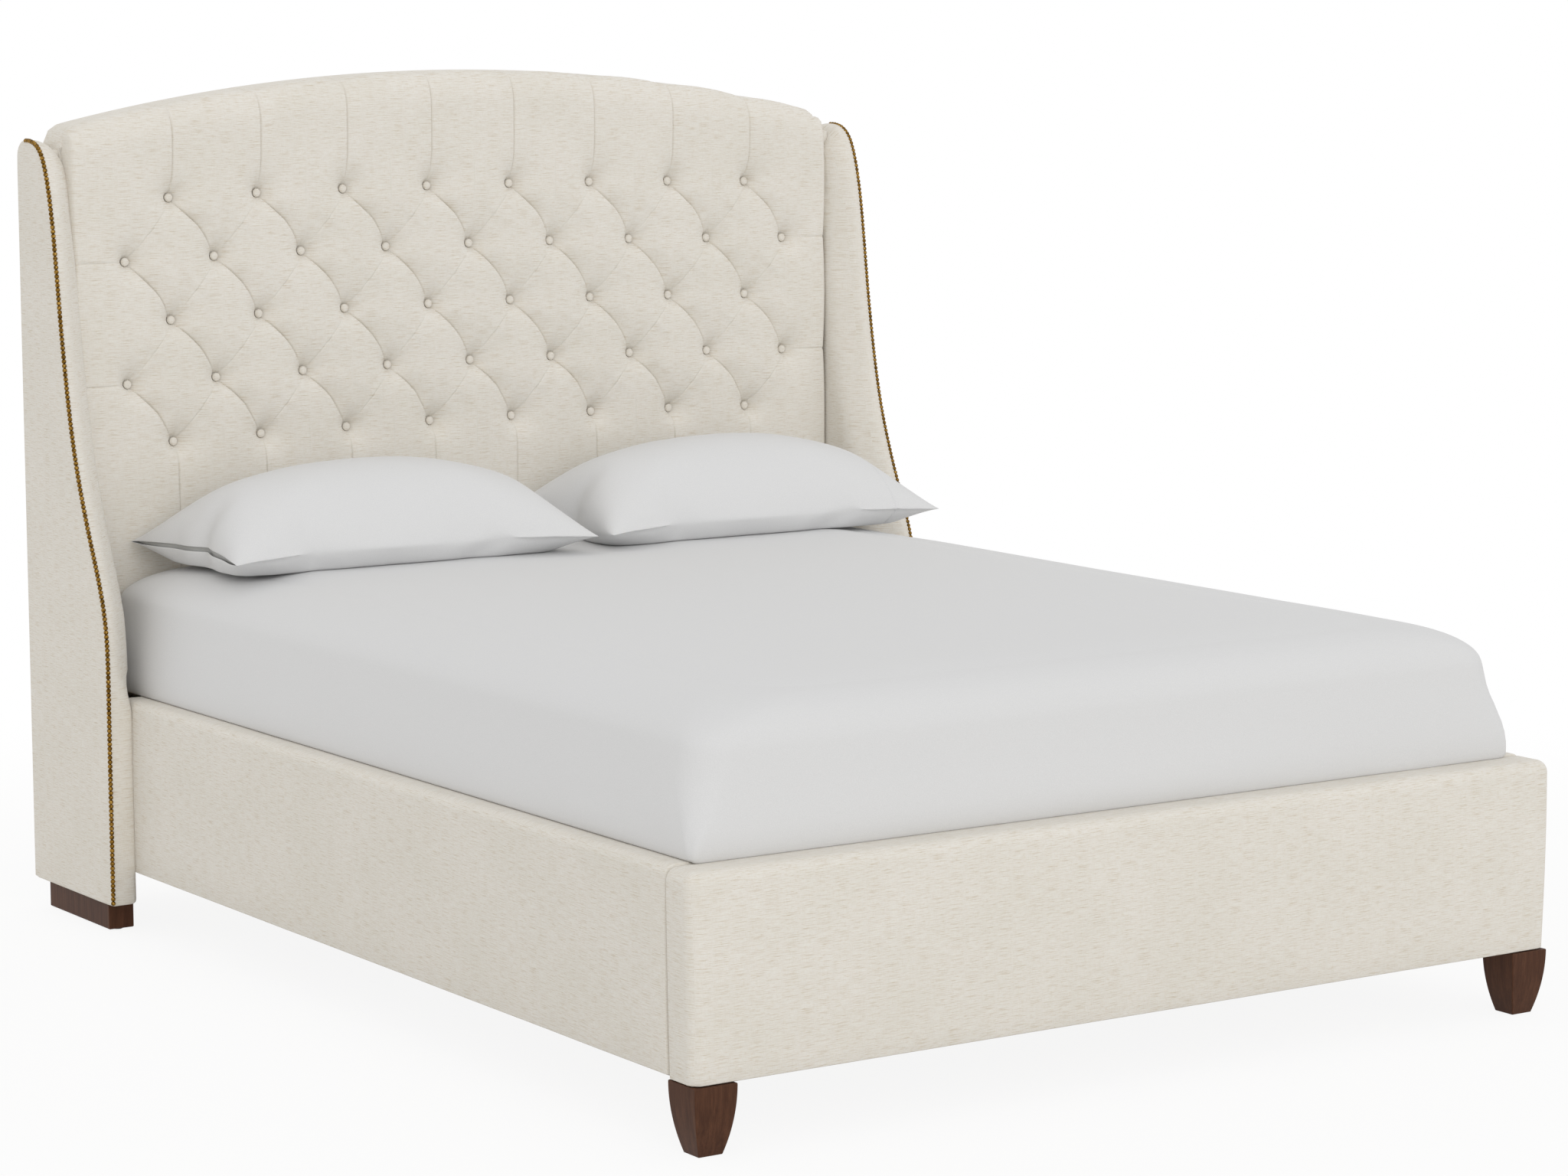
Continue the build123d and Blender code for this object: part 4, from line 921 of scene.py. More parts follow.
def puff(obj):
    """Round the wing's long edges, swell its faces and round its lower edges."""
    x, y, z = np.array([v.co for v in obj.data.vertices]).T / MM
    points = np.stack([z, y], 1)
    free = smooth((z - RAIL_TOP) / 110)
    roll_wide, roll_deep = 22 + 18 * free, 8 + 62 * free - 32 * smooth((z - 1270) / 120)
    x, points = round_corner(x, points, padded_edge, WING_IN + roll_wide, -roll_wide, roll_deep)
    x, points = round_corner(x, points, wing_outline, WING_OUT - NAIL_ROUND, NAIL_ROUND,
                             np.full(len(x), NAIL_ROUND))
    z, y = points.T
    away, _ = nearest_on_line(points, padded_edge)
    inside = np.clip((WING_OUT - 9 - x) / 37, 0, 1)
    height_share = smooth((z - 425) / 70) + 0.5 * smooth((112 - z) / 30)
    forward_share = 1 - smooth((y - SWELL_BACK) / SWELL_FADE)
    x = x - SWELL_IN * inside * smooth((away - 2) / 55) * height_share * forward_share
    x = x - PRESSED * np.clip((WING_OUT - 20 - x) / 20, 0, 1) * (1 - smooth((z - RAIL_TOP) / 60))
    x = x + SWELL_OUT * smooth(away / 60) * (x > WING_OUT - 0.5)
    low = np.clip(1 - (z - WING_FLOOR) / FLOOR_ROUND, 0, 1)
    inset = FLOOR_ROUND * (1 - np.sqrt(1 - low**2))
    x = LOW_END_X + (x - LOW_END_X) * (1 - inset / 24)
    y = LOW_END_Y + (y - LOW_END_Y) * (1 - inset / 164)
    for vertex, place in zip(obj.data.vertices, np.stack([x, y, z], 1)):
        vertex.co = Vector(place) * MM
    obj.data.update()


def wing(name):
    """The right wing at its place, before its material."""
    deselect()
    bpy.ops.mesh.primitive_circle_add(vertices=len(wing_outline), fill_type="NGON")
    obj = named(name)
    for vertex, (z, y) in zip(obj.data.vertices, wing_outline):
        vertex.co = (WING_IN * MM, y * MM, z * MM)
    edit(obj, "FACE")
    bpy.ops.mesh.select_all(action="SELECT")
    bpy.ops.mesh.extrude_region_move(
        TRANSFORM_OT_translate={"value": ((WING_OUT - WING_IN) * MM, 0, 0)})
    bpy.ops.mesh.select_all(action="SELECT")
    bpy.ops.mesh.normals_make_consistent(inside=False)
    for face_x, rings in ((WING_IN, INNER_RINGS), (WING_OUT, OUTER_RINGS)):
        bpy.ops.mesh.select_all(action="DESELECT")
        pick(obj, lambda f: all(abs(v.co.x - face_x * MM) < 1e-5 for v in f.verts), "faces")
        for ring, before in zip(rings, (0, *rings)):
            bpy.ops.mesh.inset(thickness=(ring - before) * MM, depth=0)
    bpy.ops.object.mode_set(mode="OBJECT")
    cut_at(obj, 0, [WING_IN + step for step in (1, 3, 6, 12, 19, 28, 34, 40)]
           + [WING_OUT - step for step in (0.5, 1.6, 3.2, 5)])
    slice_up(obj, 2, WING_FLOOR, WING_TOP, 25)
    cut_at(obj, 2, [WING_FLOOR + step for step in (0.5, 1.3, 2.5, FLOOR_ROUND)])
    slice_up(obj, 1, 771, WING_BACK, 14)
    puff(obj)
    return obj


def mirrored(source, name):
    """The same piece on the other side of the bed, the right way out."""
    obj = duplicate(source, name)
    for vertex in obj.data.vertices:
        vertex.co.x *= -1
    edit(obj, "FACE")
    bpy.ops.mesh.select_all(action="SELECT")
    bpy.ops.mesh.flip_normals()
    bpy.ops.object.mode_set(mode="OBJECT")
    return obj


print("tools for the wings are ready")

# %% [markdown]
# The two wings mirror each other, but in the photograph the right one stands 8 mm further in
# above the rail, as the headboard does. So it leans in there, all but its back, which stays
# against the headboard's posts.

# %% Wings
LEAN, LEAN_FROM, LEAN_OVER = 8.0, 430, 150
OUTER_FROM, OUTER_OVER = 829, 63


def lean(z):
    """How far in the right wing stands at a height above the rail."""
    return LEAN * smooth((z - LEAN_FROM) / LEAN_OVER)


def lean_in(co):
    """Lean the right wing in above the rail, and leave its back against the headboard."""
    outer = np.clip((co.x / MM - OUTER_FROM) / OUTER_OVER, 0, 1)
    inner = (1 - outer) * (1 - smooth((co.y / MM - SWELL_BACK) / SWELL_FADE))
    return (-lean(co.z / MM) * (outer + inner) * MM, 0, 0)


wing_right = wing("wing_right")
wing_left = mirrored(wing_right, "wing_left")
reshape(wing_right, lean_in)
for obj, side in ((wing_right, "right"), (wing_left, "left")):
    finish_piece(obj, "frame", oatmeal_linen, angle=40, weave=True)
    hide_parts(f"wing_pad_{side}")

# %% [markdown]
# ## Nails
#
# The trim is a row of single domed nails, almost 9 mm across and set edge to edge, along the
# rounded corner where the wing's side meets its front, and over the top. One nail is spun from
# its profile and copied along the outline. Each stands on the corner's round and is turned
# 55 degrees from the side towards the front. A nail has few faces, because there are hundreds.

# %% Nails
NAIL_PITCH, NAIL_TILT = 8.1, math.radians(55)
NAIL_SIDE = NAIL_ROUND * (1 - math.cos(NAIL_TILT))
NAIL_INSET = NAIL_ROUND * (1 - math.sin(NAIL_TILT))
nail_path = np.concatenate([front_line[:-1], shoulder, [(WING_TOP, WING_BACK - 30)]])
along = np.concatenate([[0], np.cumsum(np.hypot(*np.diff(nail_path, axis=0).T))])
stations = np.arange(6, along[-1] - 2, NAIL_PITCH)


def nail_places(side):
    """Where each nail stands on a wing: on the corner, facing half to the front."""
    places = []
    for at in stations:
        here, ahead = [np.array([np.interp(at + step, along, nail_path[:, k]) for k in (0, 1)])
                       for step in (-1, 1)]
        run = (ahead - here) / np.hypot(*(ahead - here))
        inward = np.array([-run[1], run[0]])
        centre = (here + ahead) / 2 + inward * NAIL_INSET
        outward = Vector((math.cos(NAIL_TILT) * side, -inward[1] * math.sin(NAIL_TILT),
                          -inward[0] * math.sin(NAIL_TILT)))
        out = WING_OUT - NAIL_SIDE - (lean(centre[0]) if side > 0 else 0)
        spot = Vector((side * out, centre[1], centre[0])) * MM
        places.append(Matrix.Translation(spot) @ outward.to_track_quat("Z", "Y").to_matrix().to_4x4())
    return places


NAIL = [(0, -1.5), (4.1, -1.5), (4.4, 0.1), (4.1, 1.5), (3.2, 2.7), (1.7, 3.5), (0, 3.7)]
for side, word in ((1, "right"), (-1, "left")):
    nail = turned(f"brass_nails_{word}", NAIL, 12)
    nails = copies(nail, nail_places(side))
    finish_piece(nails, "frame", antique_brass, angle=50)
    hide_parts(f"nail_trim_{word}")
print(len(stations), "nails on each wing")

# %% [markdown]
# ## Rails
#
# A rail's cover is foam and linen drawn over a board: a long box with a soft top edge, whose
# outer side swells by 2 mm between its edges. The inner half stops at the slats, because the
# cleat is screwed to bare wood. At the head it runs on behind the wing's front, so that no gap
# shows between the two.


# %% Side rails
def soft_box(name, low, high, low_round, high_round, pitch):
    """A box whose edges are rounded by an amount of its own at each of its six sides."""
    obj = block(name, [v * MM for v in low], [v * MM for v in high])
    for axis in range(3):
        shares = (0.12, 0.28, 0.46, 0.66, 0.86, 1.0)
        places = [low[axis] + low_round[axis] * t for t in shares]
        places += [high[axis] - high_round[axis] * t for t in shares]
        inner_low, inner_high = low[axis] + low_round[axis], high[axis] - high_round[axis]
        places += list(np.arange(inner_low + pitch[axis], inner_high - 3, pitch[axis]))
        cut_at(obj, axis, places)
    low, high = np.array(low), np.array(high)
    low_round, high_round = np.array(low_round, float), np.array(high_round, float)
    for vertex in obj.data.vertices:
        place = np.array(vertex.co) / MM
        core = np.clip(place, low + low_round, high - high_round)
        reach = np.where(place < core, low_round, high_round)
        share = (place - core) / reach
        length = np.hypot(np.hypot(share[0], share[1]), share[2])
        if length > 0:
            vertex.co = Vector(core + share / length * np.abs(share).max() * reach) * MM
    obj.data.update()
    return obj


rail_low, rail_high = box_of("side_rail_cover_right")
BARE_TOP, COVER_INSET, BEHIND_WING, RAIL_SWELL = 345.5, 13, 40, 2.0


def rail(name):
    """The right rail's cover, before its material."""
    obj = soft_box(name, (rail_low.x, rail_low.y, rail_low.z - 0.6),
                   (rail_high.x, rail_high.y + BEHIND_WING, rail_high.z),
                   (16, 5, 5), (16, 8, 16), (60, 45, 40))
    cut_at(obj, 2, (BARE_TOP - 0.2, BARE_TOP + 0.3))
    for vertex in obj.data.vertices:
        if vertex.co.z < BARE_TOP * MM and vertex.co.x < (rail_low.x + 20) * MM:
            vertex.co.x = max(vertex.co.x, (rail_low.x + COVER_INSET) * MM)
    return obj


def soften_rail(co):
    """Swell the rail's outer side a little between its top and bottom edges."""
    up = np.clip((co.z / MM - rail_low.z) / (rail_high.z - rail_low.z), 0, 1)
    outside = np.clip((co.x / MM - 820) / 15, 0, 1)
    swell_out = RAIL_SWELL * math.sin(math.pi * up) ** 0.8 - RAIL_SWELL
    ripple = 0.7 * noise.noise((co.y * 5.0, co.z * 4.0, 1.7))
    return ((swell_out + ripple) * outside * MM, 0, 0)


rail_right = rail("rail_cover_right")
reshape(rail_right, soften_rail)
rail_left = mirrored(rail_right, "rail_cover_left")
for obj, side in ((rail_right, "right"), (rail_left, "left")):
    finish_piece(obj, "frame", oatmeal_linen, angle=40, weave=True)
    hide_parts(f"side_rail_cover_{side}")

# %% [markdown]
# ## Footboard
#
# The footboard's padding is thicker than a rail's. Its front swells by about 6 mm, less towards
# the ends, where the linen is pulled tight over rounded corners, and it narrows a little
# towards the floor.

# %% Footboard
FOOT_SWELL, FOOT_NARROW = 6.3, 5.0
foot_low, foot_high = box_of("footboard_cover")
footboard = soft_box("footboard_padding", (foot_low.x, foot_low.y + 7, foot_low.z - 0.6),
                     tuple(foot_high), (20, 20, 4), (20, 7, 20), (45, 60, 26))


def soften_footboard(co):
    """Swell the footboard's front, most in its middle height and less at its ends."""
    up = np.clip((co.z / MM - foot_low.z) / (foot_high.z - foot_low.z), 0, 1)
    front = np.clip((foot_low.y + 40 - co.y / MM) / 30, 0, 1)
    end = math.sin(math.pi / 2 * max(0, min(1, (foot_high.x - abs(co.x) / MM) / 90)))
    ripple = 0.8 * noise.noise((co.x * 4.0, co.z * 5.0, 4.2))
    out = FOOT_SWELL * (1 - (2 * up - 1) ** 2) * (0.35 + 0.65 * end) - 0.5 + ripple
    narrower = FOOT_NARROW * (1 - up) ** 1.5 * np.clip((abs(co.x) / MM - 780) / 60, 0, 1)
    return (-math.copysign(narrower, co.x) * MM, -out * front * MM, 0)


reshape(footboard, soften_footboard)
finish_piece(footboard, "frame", oatmeal_linen, angle=40, weave=True)
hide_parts("footboard_cover")

# %% [markdown]
# ## The band over the headboard
#
# Behind the tufted pad the linen runs over the top of the frame to the back. It is a padded band
# that follows the arch, with a ring of points at each step across. The pleats of the pad run on
# over it, so its top dips at each of them and its outline is scalloped as on the real one. At
# both ends it is pulled down over the corners of the posts.

# %% Headboard band
band_low, band_high = box_of("headboard_top_band")
pleat_spots = np.arange(-3.5, 4) * PITCH
beside_pleats = [(pleat_spots + step) / HALF for step in (-5, -2.5, -1.2, 0, 1.2, 2.5, 5)]
span = np.unique(np.concatenate([np.linspace(-1, 1, 121), *beside_pleats]).round(5))
depths = np.linspace(band_low.y, band_high.y, 11)
BAND_CORNER, BAND_THICK, OVER_POST, TIGHT = 34.0, 35, 45, 0.3
FRONT_HALF, BACK_HALF = HALF - RIGHT_TUCK, BOARD_HALF + TIGHT
WIDER_FROM, WIDER_OVER = 1040, 45


def band_point(share, depth, top_side):
    """A point of the band's ring: share runs along the arch, depth from front to back."""
    wider = smooth((depth - WIDER_FROM) / WIDER_OVER)
    right_half = FRONT_HALF + (BACK_HALF - FRONT_HALF) * wider
    half = BACK_HALF if share < 0 else right_half
    x = share * half
    beyond = max(abs(x) - (half - BAND_CORNER), 0)
    top = arch(x) - (BAND_CORNER - math.sqrt(max(BAND_CORNER**2 - beyond**2, 0)))
    if not top_side:
        down = OVER_POST * float(smooth((abs(x) - 790) / 30))
        return x, depth, min(arch(x) - BAND_THICK, top - 12) - down
    from_fold = np.abs(share * HALF - pleat_spots).min()
    roll = 5.4 * (1 - quarter(min(depth - band_low.y, band_high.y - depth) + 3.0, 16))
    dip = SCALLOP * np.clip(1 - 2 * from_fold / PITCH, 0, 1) ** 2.2
    dip = dip * np.clip((1075 - depth) / 45, 0, 1)
    slit = 2.2 * math.exp(-(from_fold / 2.0) ** 2) * np.clip((1100 - depth) / 20, 0, 1)
    return x, depth, top - dip - slit - float(roll)


deselect()
bpy.ops.mesh.primitive_circle_add(vertices=2 * len(span), fill_type="NOTHING")
band = named("headboard_band")
outline = bmesh.new()
rings = []
for share in span:
    ring = [band_point(share, depth, True) for depth in depths]
    ring += [band_point(share, depth, False) for depth in depths[::-1]]
    rings.append([outline.verts.new([value * MM for value in place]) for place in ring])
sew_rings(outline, rings)
outline.faces.new(rings[0])
outline.faces.new(rings[-1][::-1])
bmesh.ops.recalc_face_normals(outline, faces=outline.faces)
outline.to_mesh(band.data)
outline.free()
finish_piece(band, "frame", oatmeal_linen, angle=45, weave=True)
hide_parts("headboard_top_band")

# %% [markdown]
# ## Mattress in its fitted sheet
#
# The sheet is stretched over a thick mattress, so it shows the mattress's own form: straight
# sides that swell over the rails, a broad roll into the top, and a slight crown. It is built
# from rings, from the hem up the side, over the roll and in to the middle of the top.

# %% Rings of the fitted sheet
sheet_low, sheet_high = box_of("fitted_sheet")
bed_middle = (sheet_low.y + sheet_high.y) / 2
half_length = (sheet_high.y - sheet_low.y) / 2
SEAT_Z, SHOULDER, TOP_Z, CROWN_Z = 347.0, 584.0, 650.0, sheet_high.z
BETWEEN_RAILS = [(SEAT_Z, 762, 58), (385, 762, 58), (418, 762.5, 40), (425.5, 764, 28)]
OVER_RAILS = [(427.6, 772, 20), (427.7, 783, 17), (427.8, 794, 15), (428.2, 801, 15),
              (429.8, 804.5, 15), (433, 806, 15), (441, 806.3, 16), (452, 806, 18)]


def ring_sizes():
    """Each ring's height, half width, half length and corner radius, from the hem inwards."""
    rings = [(z, half, half_length, radius) for z, half, radius in BETWEEN_RAILS + OVER_RAILS]
    for z in range(470, 590, 16):
        rings.append((z, 806 - 23 * ((z - 452) / 132) ** 1.3, half_length,
                      18 + 44 * min(1, (z - 452) / 90)))
    for angle in np.radians(np.linspace(5, 90, 18)):
        drop = 1 - math.cos(angle)
        rings.append((SHOULDER + (TOP_Z - SHOULDER) * math.sin(angle), 782 - 150 * drop,
                      half_length - 90 * drop, 62 + 60 * drop))
    for inwards in (8, 18, 30, 45, 62, 82, *range(110, 631, 40), 631):
        rise = 1 - (1 - min(1, inwards / 82)) ** 2
        rings.append((TOP_Z + (CROWN_Z - TOP_Z) * rise, 632 - inwards, half_length - 90 - inwards,
                      max(122 - inwards, 0.4)))
    return rings


def ring_points(half, length, radius, count=9, along=34, across=26):
    """Points round a rectangle with rounded corners, the same number for every ring."""
    points = []
    for sx, sy, start in ((1, 1, 0), (-1, 1, 90), (-1, -1, 180), (1, -1, 270)):
        for angle in np.radians(np.linspace(start, start + 90, count)):
            points.append((sx * (half - radius) + radius * math.cos(angle),
                           sy * (length - radius) + radius * math.sin(angle)))
        a = np.array(points[-1])
        b = (np.array([-(half - radius), length]), np.array([-half, -(length - radius)]),
             np.array([half - radius, -length]), np.array([half, length - radius]))[start // 90]
        steps_between = across if start in (0, 180) else along
        points += [tuple(a * (1 - t) + b * t) for t in np.linspace(0, 1, steps_between + 1)[1:-1]]
    return points


print(len(ring_sizes()), "rings of", len(ring_points(800, 1000, 15)), "points")

# %% [markdown]
# The cloth isn't quite tight. It stands a few millimetres off the mattress in slow waves, the
# elastic under the corners leaves faint upright creases in the sides, and at the foot the sheet
# bulges over the footboard's edge. Slow noise gives the waves, and a faster one the creases.


# %% Fitted sheet
def slack_of(x, y, z):
    """How far the cloth stands off the mattress at a point, in millimetres."""
    waves = 2.2 + noise.noise((x / 260, y / 260, z / 200)) * 1.8
    return waves * np.clip((z - 425) / 60, 0, 1)


def crease_of(x, y, z, length, side):
    """How far an upright crease stands out of the sheet's side at a point."""
    gather = math.exp(-((length - abs(y)) / 260) ** 2)
    low = np.clip((560 - z) / 120, 0, 1) * np.clip((z - 425) / 30, 0, 1)
    cluster = np.clip(noise.noise((y / 210, 5.0, side)) * 2.2 + 0.35, 0, 1)
    crease = noise.noise((y / 21 + z / 260, x / 900, 2.0 + side)) * low
    return abs(crease) * (7.0 * cluster + 4.0 * gather)


def sheet_point(x, y, z, half, length):
    """Where a point of a ring goes, in metres."""
    x = x if half > 1.5 else 0.0
    slack = slack_of(x, y, z)
    scale = 1 + (crease_of(x, y, z, length, 1 if abs(x) > half - 2 else 0) + 0.6 * slack) / 800
    lift = slack * np.clip((z - 600) / 50, 0, 1) * np.clip((560 - y) / 120, 0, 1)
    bulge = np.interp(z, (427.6, 427.7, 428.2, 433, 460, 600), (0, 5, 10, 12, 12, 1))
    over_foot = bulge if y < 0 else 0
    settle = 1.9 if y < 5 - length and 427 < z < 432 else 0
    place_y = bed_middle + y * (1 if z > 640 else scale) - over_foot
    return x * scale * MM, place_y * MM, (z + lift - settle) * MM


deselect()
bpy.ops.mesh.primitive_plane_add(size=1)
fitted_sheet = named("fitted_sheet_cotton")
cloth = bmesh.new()
rings = [[cloth.verts.new(sheet_point(x, y, z, half, length))
          for x, y in ring_points(half, length, radius)] for z, half, length, radius in ring_sizes()]
sew_rings(cloth, rings)
bmesh.ops.remove_doubles(cloth, verts=rings[-1], dist=0.5 * MM)
bmesh.ops.recalc_face_normals(cloth, faces=cloth.faces)
if max(cloth.faces, key=lambda f: f.calc_center_median().z).normal.z < 0:
    bmesh.ops.reverse_faces(cloth, faces=cloth.faces)
cloth.to_mesh(fitted_sheet.data)
cloth.free()
thickness = fitted_sheet.modifiers.new("cloth_thickness", "SOLIDIFY")
thickness.thickness, thickness.offset = 0.8 * MM, -1
finish_piece(fitted_sheet, "mattress", white_percale, angle=60)
print("sheet area in square metres:", round(sum(p.area for p in fitted_sheet.data.polygons), 3))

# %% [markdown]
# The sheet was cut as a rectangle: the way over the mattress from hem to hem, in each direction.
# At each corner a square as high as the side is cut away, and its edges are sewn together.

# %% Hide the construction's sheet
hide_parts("fitted_sheet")

# %% [markdown]
# ## Pillows
#
# A pillowcase is two flat rectangles sewn on three sides. Filling it pulls the sides in between
# the corners and leaves the corners standing out as points, which is just what a cloth
# simulation does to a thin flat box under pressure. So one pouch is simulated, and each pillow
# starts from it. The end strips are remembered by number, because one of them is the mouth.
#
# Extrude doesn't number its vertices in the same way in every run, and the simulation's folds
# depend on their order. So the pouch is numbered anew by place, and the folds are always alike.


# %% Filled pouch
def number_of(part):
    """A number for a vertex, edge or face: upwards, then front to back, then right to left."""
    verts = part.verts if hasattr(part, "verts") else [part]
    place = sum((vert.co for vert in verts), Vector()) / len(verts) / MM
    return round((place.z * 1000 + place.y) * 1000 - place.x, 1)


def pouch(name, width, depth, columns, rows):
    """A flat closed bag of cloth at the origin, 6 mm thick."""
    deselect()
    bpy.ops.mesh.primitive_grid_add(x_subdivisions=columns, y_subdivisions=rows, size=1)
    obj = named(name)
    obj.scale = (width * MM, depth * MM, 1)
    bpy.ops.object.transform_apply(location=True, rotation=True, scale=True)
    edit(obj, "FACE")
    bpy.ops.mesh.select_all(action="SELECT")
    bpy.ops.mesh.extrude_region_move(TRANSFORM_OT_translate={"value": (0, 0, 6 * MM)})
    bpy.ops.mesh.select_all(action="SELECT")
    bpy.ops.mesh.normals_make_consistent(inside=False)
    bpy.ops.object.mode_set(mode="OBJECT")
    mesh = bmesh.new()
    mesh.from_mesh(obj.data)
    for parts in (mesh.verts, mesh.edges, mesh.faces):
        parts.sort(key=number_of)
    mesh.to_mesh(obj.data)
    mesh.free()
    return obj


def fill_with_down(obj, pressure, frames):
    """Blow a pouch up with a cloth simulation and keep the result."""
    take(obj)
    modifier = obj.modifiers.new("filling", "CLOTH")
    settings = modifier.settings
    settings.quality, settings.mass, settings.time_scale = 6, 0.25, 1.0
    settings.tension_stiffness = settings.compression_stiffness = 30
    settings.shear_stiffness, settings.bending_stiffness = 12, 0.8
    settings.use_pressure, settings.uniform_pressure_force = True, pressure
    settings.air_damping = 6
    settings.effector_weights.gravity = 0
    modifier.point_cache.frame_start, modifier.point_cache.frame_end = 1, frames
    for step in range(1, frames + 1):
        bpy.context.scene.frame_set(step)
    bpy.ops.object.modifier_apply(modifier=modifier.name)
    bpy.context.scene.frame_set(1)


pillow_form = pouch("pillow_form", 800, 500, 72, 44)
mouth = {side: [face.index for face in pillow_form.data.polygons if face.normal.x * out > 0.99]
         for side, out in (("left", -1), ("right", 1))}
fill_with_down(pillow_form, 7.0, 40)
edit(pillow_form, "VERT")
bpy.ops.mesh.select_all(action="SELECT")
bpy.ops.mesh.vertices_smooth(factor=0.5, repeat=14)
bpy.ops.object.mode_set(mode="OBJECT")
co = np.array([v.co for v in pillow_form.data.vertices]) / MM
print("filled pouch in mm:", np.ptp(co, axis=0).round(1))

# %% [markdown]
# The filled pouch is fitted to its place between the mattress and the headboard: its length and
# depth to the pillow's, its lower half pressed flat on the mattress, and its upper half left
# full. Then the outer end's seam strip is deleted, so that the case has two lips with a dark
# slit between them. A hem is stitched round the right case's mouth. A case was cut 0.76 m long
# and 0.88 m wide and folded once, so it lies 0.76 by 0.44 m when it is empty.


# %% Pillowcases and fillings
SEAM_HEIGHT, DROOP, FILLING_INSET, HEM, STITCH = 38.0, 6, 9, 86.0, 3.2


def set_down(obj, side, shrink):
    """Fit the filled pouch to a pillow's place. Shrink draws it in for the filling."""
    low, high = box_of(f"pillowcase_{side}")
    points = np.array([v.co for v in obj.data.vertices]) / MM
    middle_z = (points[:, 2].max() + points[:, 2].min()) / 2
    points[:, 2] -= middle_z
    spread = np.abs(points).max(0)
    unit = points / spread
    seat = low.z + SEAM_HEIGHT
    half_x, half_y = (high.x - low.x) / 2 - shrink, (high.y - low.y) / 2 - shrink
    crown, belly = high.z - seat - shrink, seat - low.z - shrink
    x = (low.x + high.x) / 2 + unit[:, 0] * half_x
    y = (low.y + high.y) / 2 + unit[:, 1] * half_y
    aside = np.clip(np.abs(unit[:, 1]) / (0.77 + 0.23 * np.abs(unit[:, 0]) ** 4), 0, 1)
    lens = unit[:, 2] * (1 - aside**2) ** 0.33
    up = np.where(lens > 0, lens * crown, np.maximum(lens * 2.6 * belly, -belly))
    edge = np.clip(np.maximum(np.abs(unit[:, 0]) ** 6, 0.35 * np.abs(unit[:, 1]) ** 6), 0, 1)
    z = np.maximum(seat + up - DROOP * edge, low.z + shrink)
    for vertex, place in zip(obj.data.vertices, np.stack([x, y, z], 1)):
        vertex.co = Vector(place) * MM
    obj.data.update()


def stitch_hem(case, hem_x, centre):
    """Draw a ring of the case in, where a hem is stitched round its mouth."""
    cut_at(case, 0, [hem_x + step for step in (-2.0, 0.0, 2.0)])
    for vertex in case.data.vertices:
        if abs(vertex.co.x / MM - hem_x) < 0.2:
            inwards = Vector((0, centre.y * MM - vertex.co.y, centre.z * MM - vertex.co.z))
            vertex.co += inwards.normalized() * STITCH * MM
    case.data.update()


def case_of(side):
    """Make a pillowcase, open at its outer end, and the pillow inside it."""
    case = duplicate(pillow_form, f"pillowcase_cotton_{side}")
    set_down(case, side, 0)
    filling = duplicate(pillow_form, f"pillow_down_{side}")
    set_down(filling, side, FILLING_INSET)
    edit(case, "FACE")
    found = pick(case, lambda f: f.index in mouth[side], "faces")
    bpy.ops.mesh.delete(type="FACE")
    bpy.ops.object.mode_set(mode="OBJECT")
    print(case.name, "is open where", found, "faces were")
    if side == "right":
        low, high = box_of("pillowcase_right")
        stitch_hem(case, high.x - HEM, (low + high) / 2)
    wall = case.modifiers.new("cloth_thickness", "SOLIDIFY")
    wall.thickness, wall.offset = 1.0 * MM, -1
    for obj in (case, filling):
        finer = obj.modifiers.new("finer", "SUBSURF")
        finer.levels = finer.render_levels = 1
    finish_piece(case, f"pillow_{side}", white_percale, angle=70)
    finish_piece(filling, f"pillow_{side}", grey_ticking, angle=70)
    print(case.name, "area in square metres:", round(sum(p.area for p in case.data.polygons), 3))
    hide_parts(f"pillowcase_{side}")
    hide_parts(f"pillow_filling_{side}")


for side in ("left", "right"):
    case_of(side)
bpy.data.objects.remove(pillow_form)

# %% [markdown]
# ## Floor
#
# The photograph is a cut-out on white, lit softly from above and in front. The floor is pale,
# and mostly shows itself to the camera and in reflections as white, with the object's shadow
# faint on it. Further from the bed the white takes over, so the floor has no edge.


# %% Floor
def seen_directly(tree):
    """One for rays from the camera and in reflections, nought for light on its way."""
    sees = node(tree, "ShaderNodeLightPath")
    return node(tree, "ShaderNodeMath", {"operation": "MAXIMUM"}, {
        0: sees.outputs["Is Camera Ray"], 1: sees.outputs["Is Glossy Ray"]}).outputs[0]


deselect()
bpy.ops.mesh.primitive_plane_add(size=60)
floor = named("floor")
floor_material, tree = new_material("white_floor")
seen = seen_directly(tree)
pale = node(tree, "ShaderNodeBsdfDiffuse", inputs={"Color": colour("#E8E7E5")})
white = node(tree, "ShaderNodeEmission", inputs={"Color": (1, 1, 1, 1), "Strength": 1.0})
away = node(tree, "ShaderNodeVectorMath", {"operation": "LENGTH"}, {
    0: node(tree, "ShaderNodeTexCoord").outputs["Object"]}).outputs["Value"]
fading = node(tree, "ShaderNodeMapRange", {"interpolation_type": "SMOOTHSTEP"}, {
    "Value": away, "From Min": 1.4, "From Max": 3.2, "To Min": 0.90, "To Max": 1.0})
share = node(tree, "ShaderNodeMath", {"operation": "MULTIPLY"}, {
    0: seen, 1: fading.outputs["Result"]}).outputs[0]
mixed = node(tree, "ShaderNodeMixShader", inputs={
    0: share, 1: pale.outputs["BSDF"], 2: white.outputs["Emission"]})
node(tree, "ShaderNodeOutputMaterial", inputs={"Surface": mixed.outputs["Shader"]})
floor.data.materials.append(floor_material)
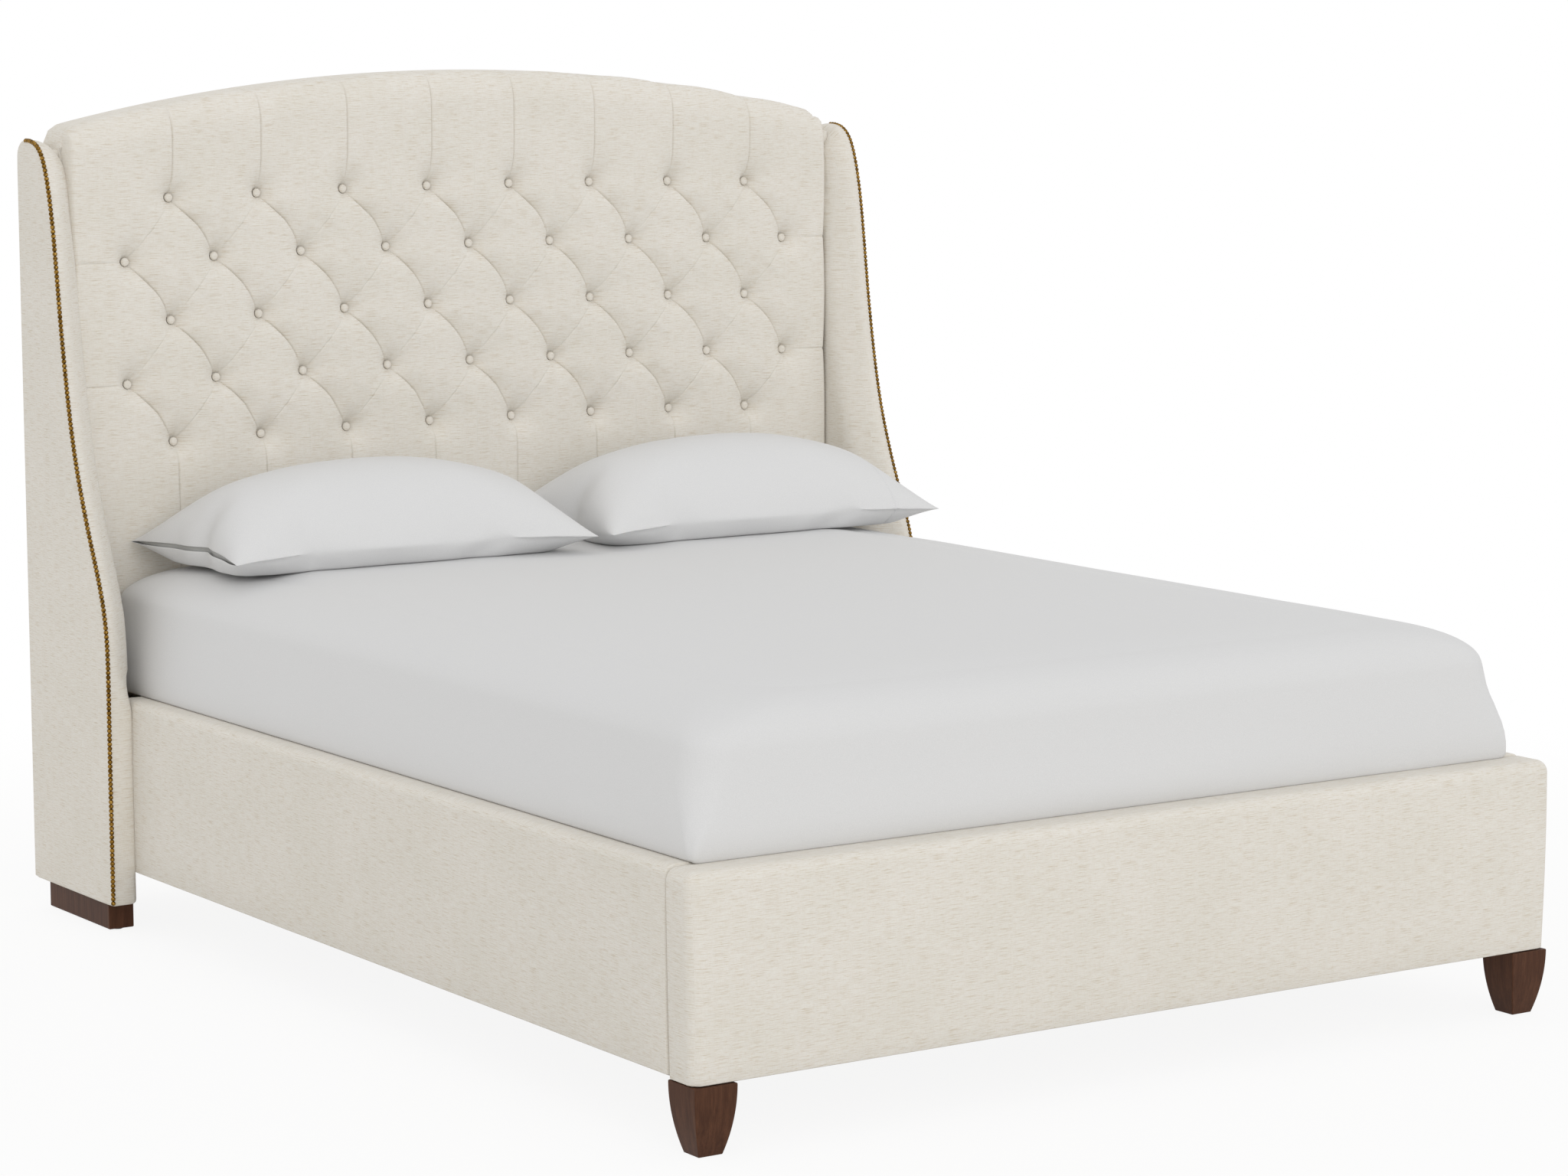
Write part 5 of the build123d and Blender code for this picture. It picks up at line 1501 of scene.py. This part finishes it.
floor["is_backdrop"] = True
print("the floor is", round(floor.dimensions.x), "metres wide")

# %% [markdown]
# ## Sky and lamp
#
# An even sky gives most of the light, as a white studio does. It is a fifth darker overhead, so
# that level surfaces don't outshine upright ones. One far, wide lamp in front, a little to the
# left, models the folds of the headboard. What the camera sees of the sky is plain white.

# %% Sky and lamp
SKY, OVERHEAD = 0.99, 0.80
world = bpy.data.worlds.new("studio")
bpy.context.scene.world = world
world.use_nodes = True
tree = world.node_tree
tree.nodes.clear()
seen = seen_directly(tree)
strength = node(tree, "ShaderNodeMapRange", inputs={"Value": seen, "To Min": SKY, "To Max": 1.0})
height = node(tree, "ShaderNodeSeparateXYZ", inputs={
    0: node(tree, "ShaderNodeTexCoord").outputs["Generated"]}).outputs["Z"]
overhead = node(tree, "ShaderNodeMapRange", inputs={
    "Value": height, "From Min": 0.0, "From Max": 1.0, "To Min": 1.0, "To Max": OVERHEAD})
even = node(tree, "ShaderNodeMath", {"operation": "MAXIMUM"}, {
    0: seen, 1: overhead.outputs["Result"]}).outputs[0]
strength = node(tree, "ShaderNodeMath", {"operation": "MULTIPLY"}, {
    0: strength.outputs["Result"], 1: even}).outputs[0]
sky = node(tree, "ShaderNodeBackground", inputs={"Color": (1, 1, 1, 1), "Strength": strength})
node(tree, "ShaderNodeOutputWorld", inputs={"Surface": sky.outputs["Background"]})


def lamp(name, place, spread, power):
    """A far, wide lamp that lights the whole bed alike, turned to it from a place."""
    data = bpy.data.lights.new(name, "SUN")
    data.angle, data.energy = math.radians(spread), power
    obj = bpy.data.objects.new(name, data)
    bpy.context.scene.collection.objects.link(obj)
    obj.location = place
    obj.rotation_euler = (-Vector(place)).to_track_quat("-Z", "Y").to_euler()
    return obj


front_lamp = lamp("front_lamp", (-1.5, -7.0, 2.8), 38, 0.55)
bpy.context.scene.view_settings.view_transform = "Standard"
print("sky", SKY, "and lamp", round(front_lamp.data.energy, 2))

# %% Size of the dressed bed
low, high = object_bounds()
print("dressed bed in metres:", [round(v, 3) for v in (*low, *high)])
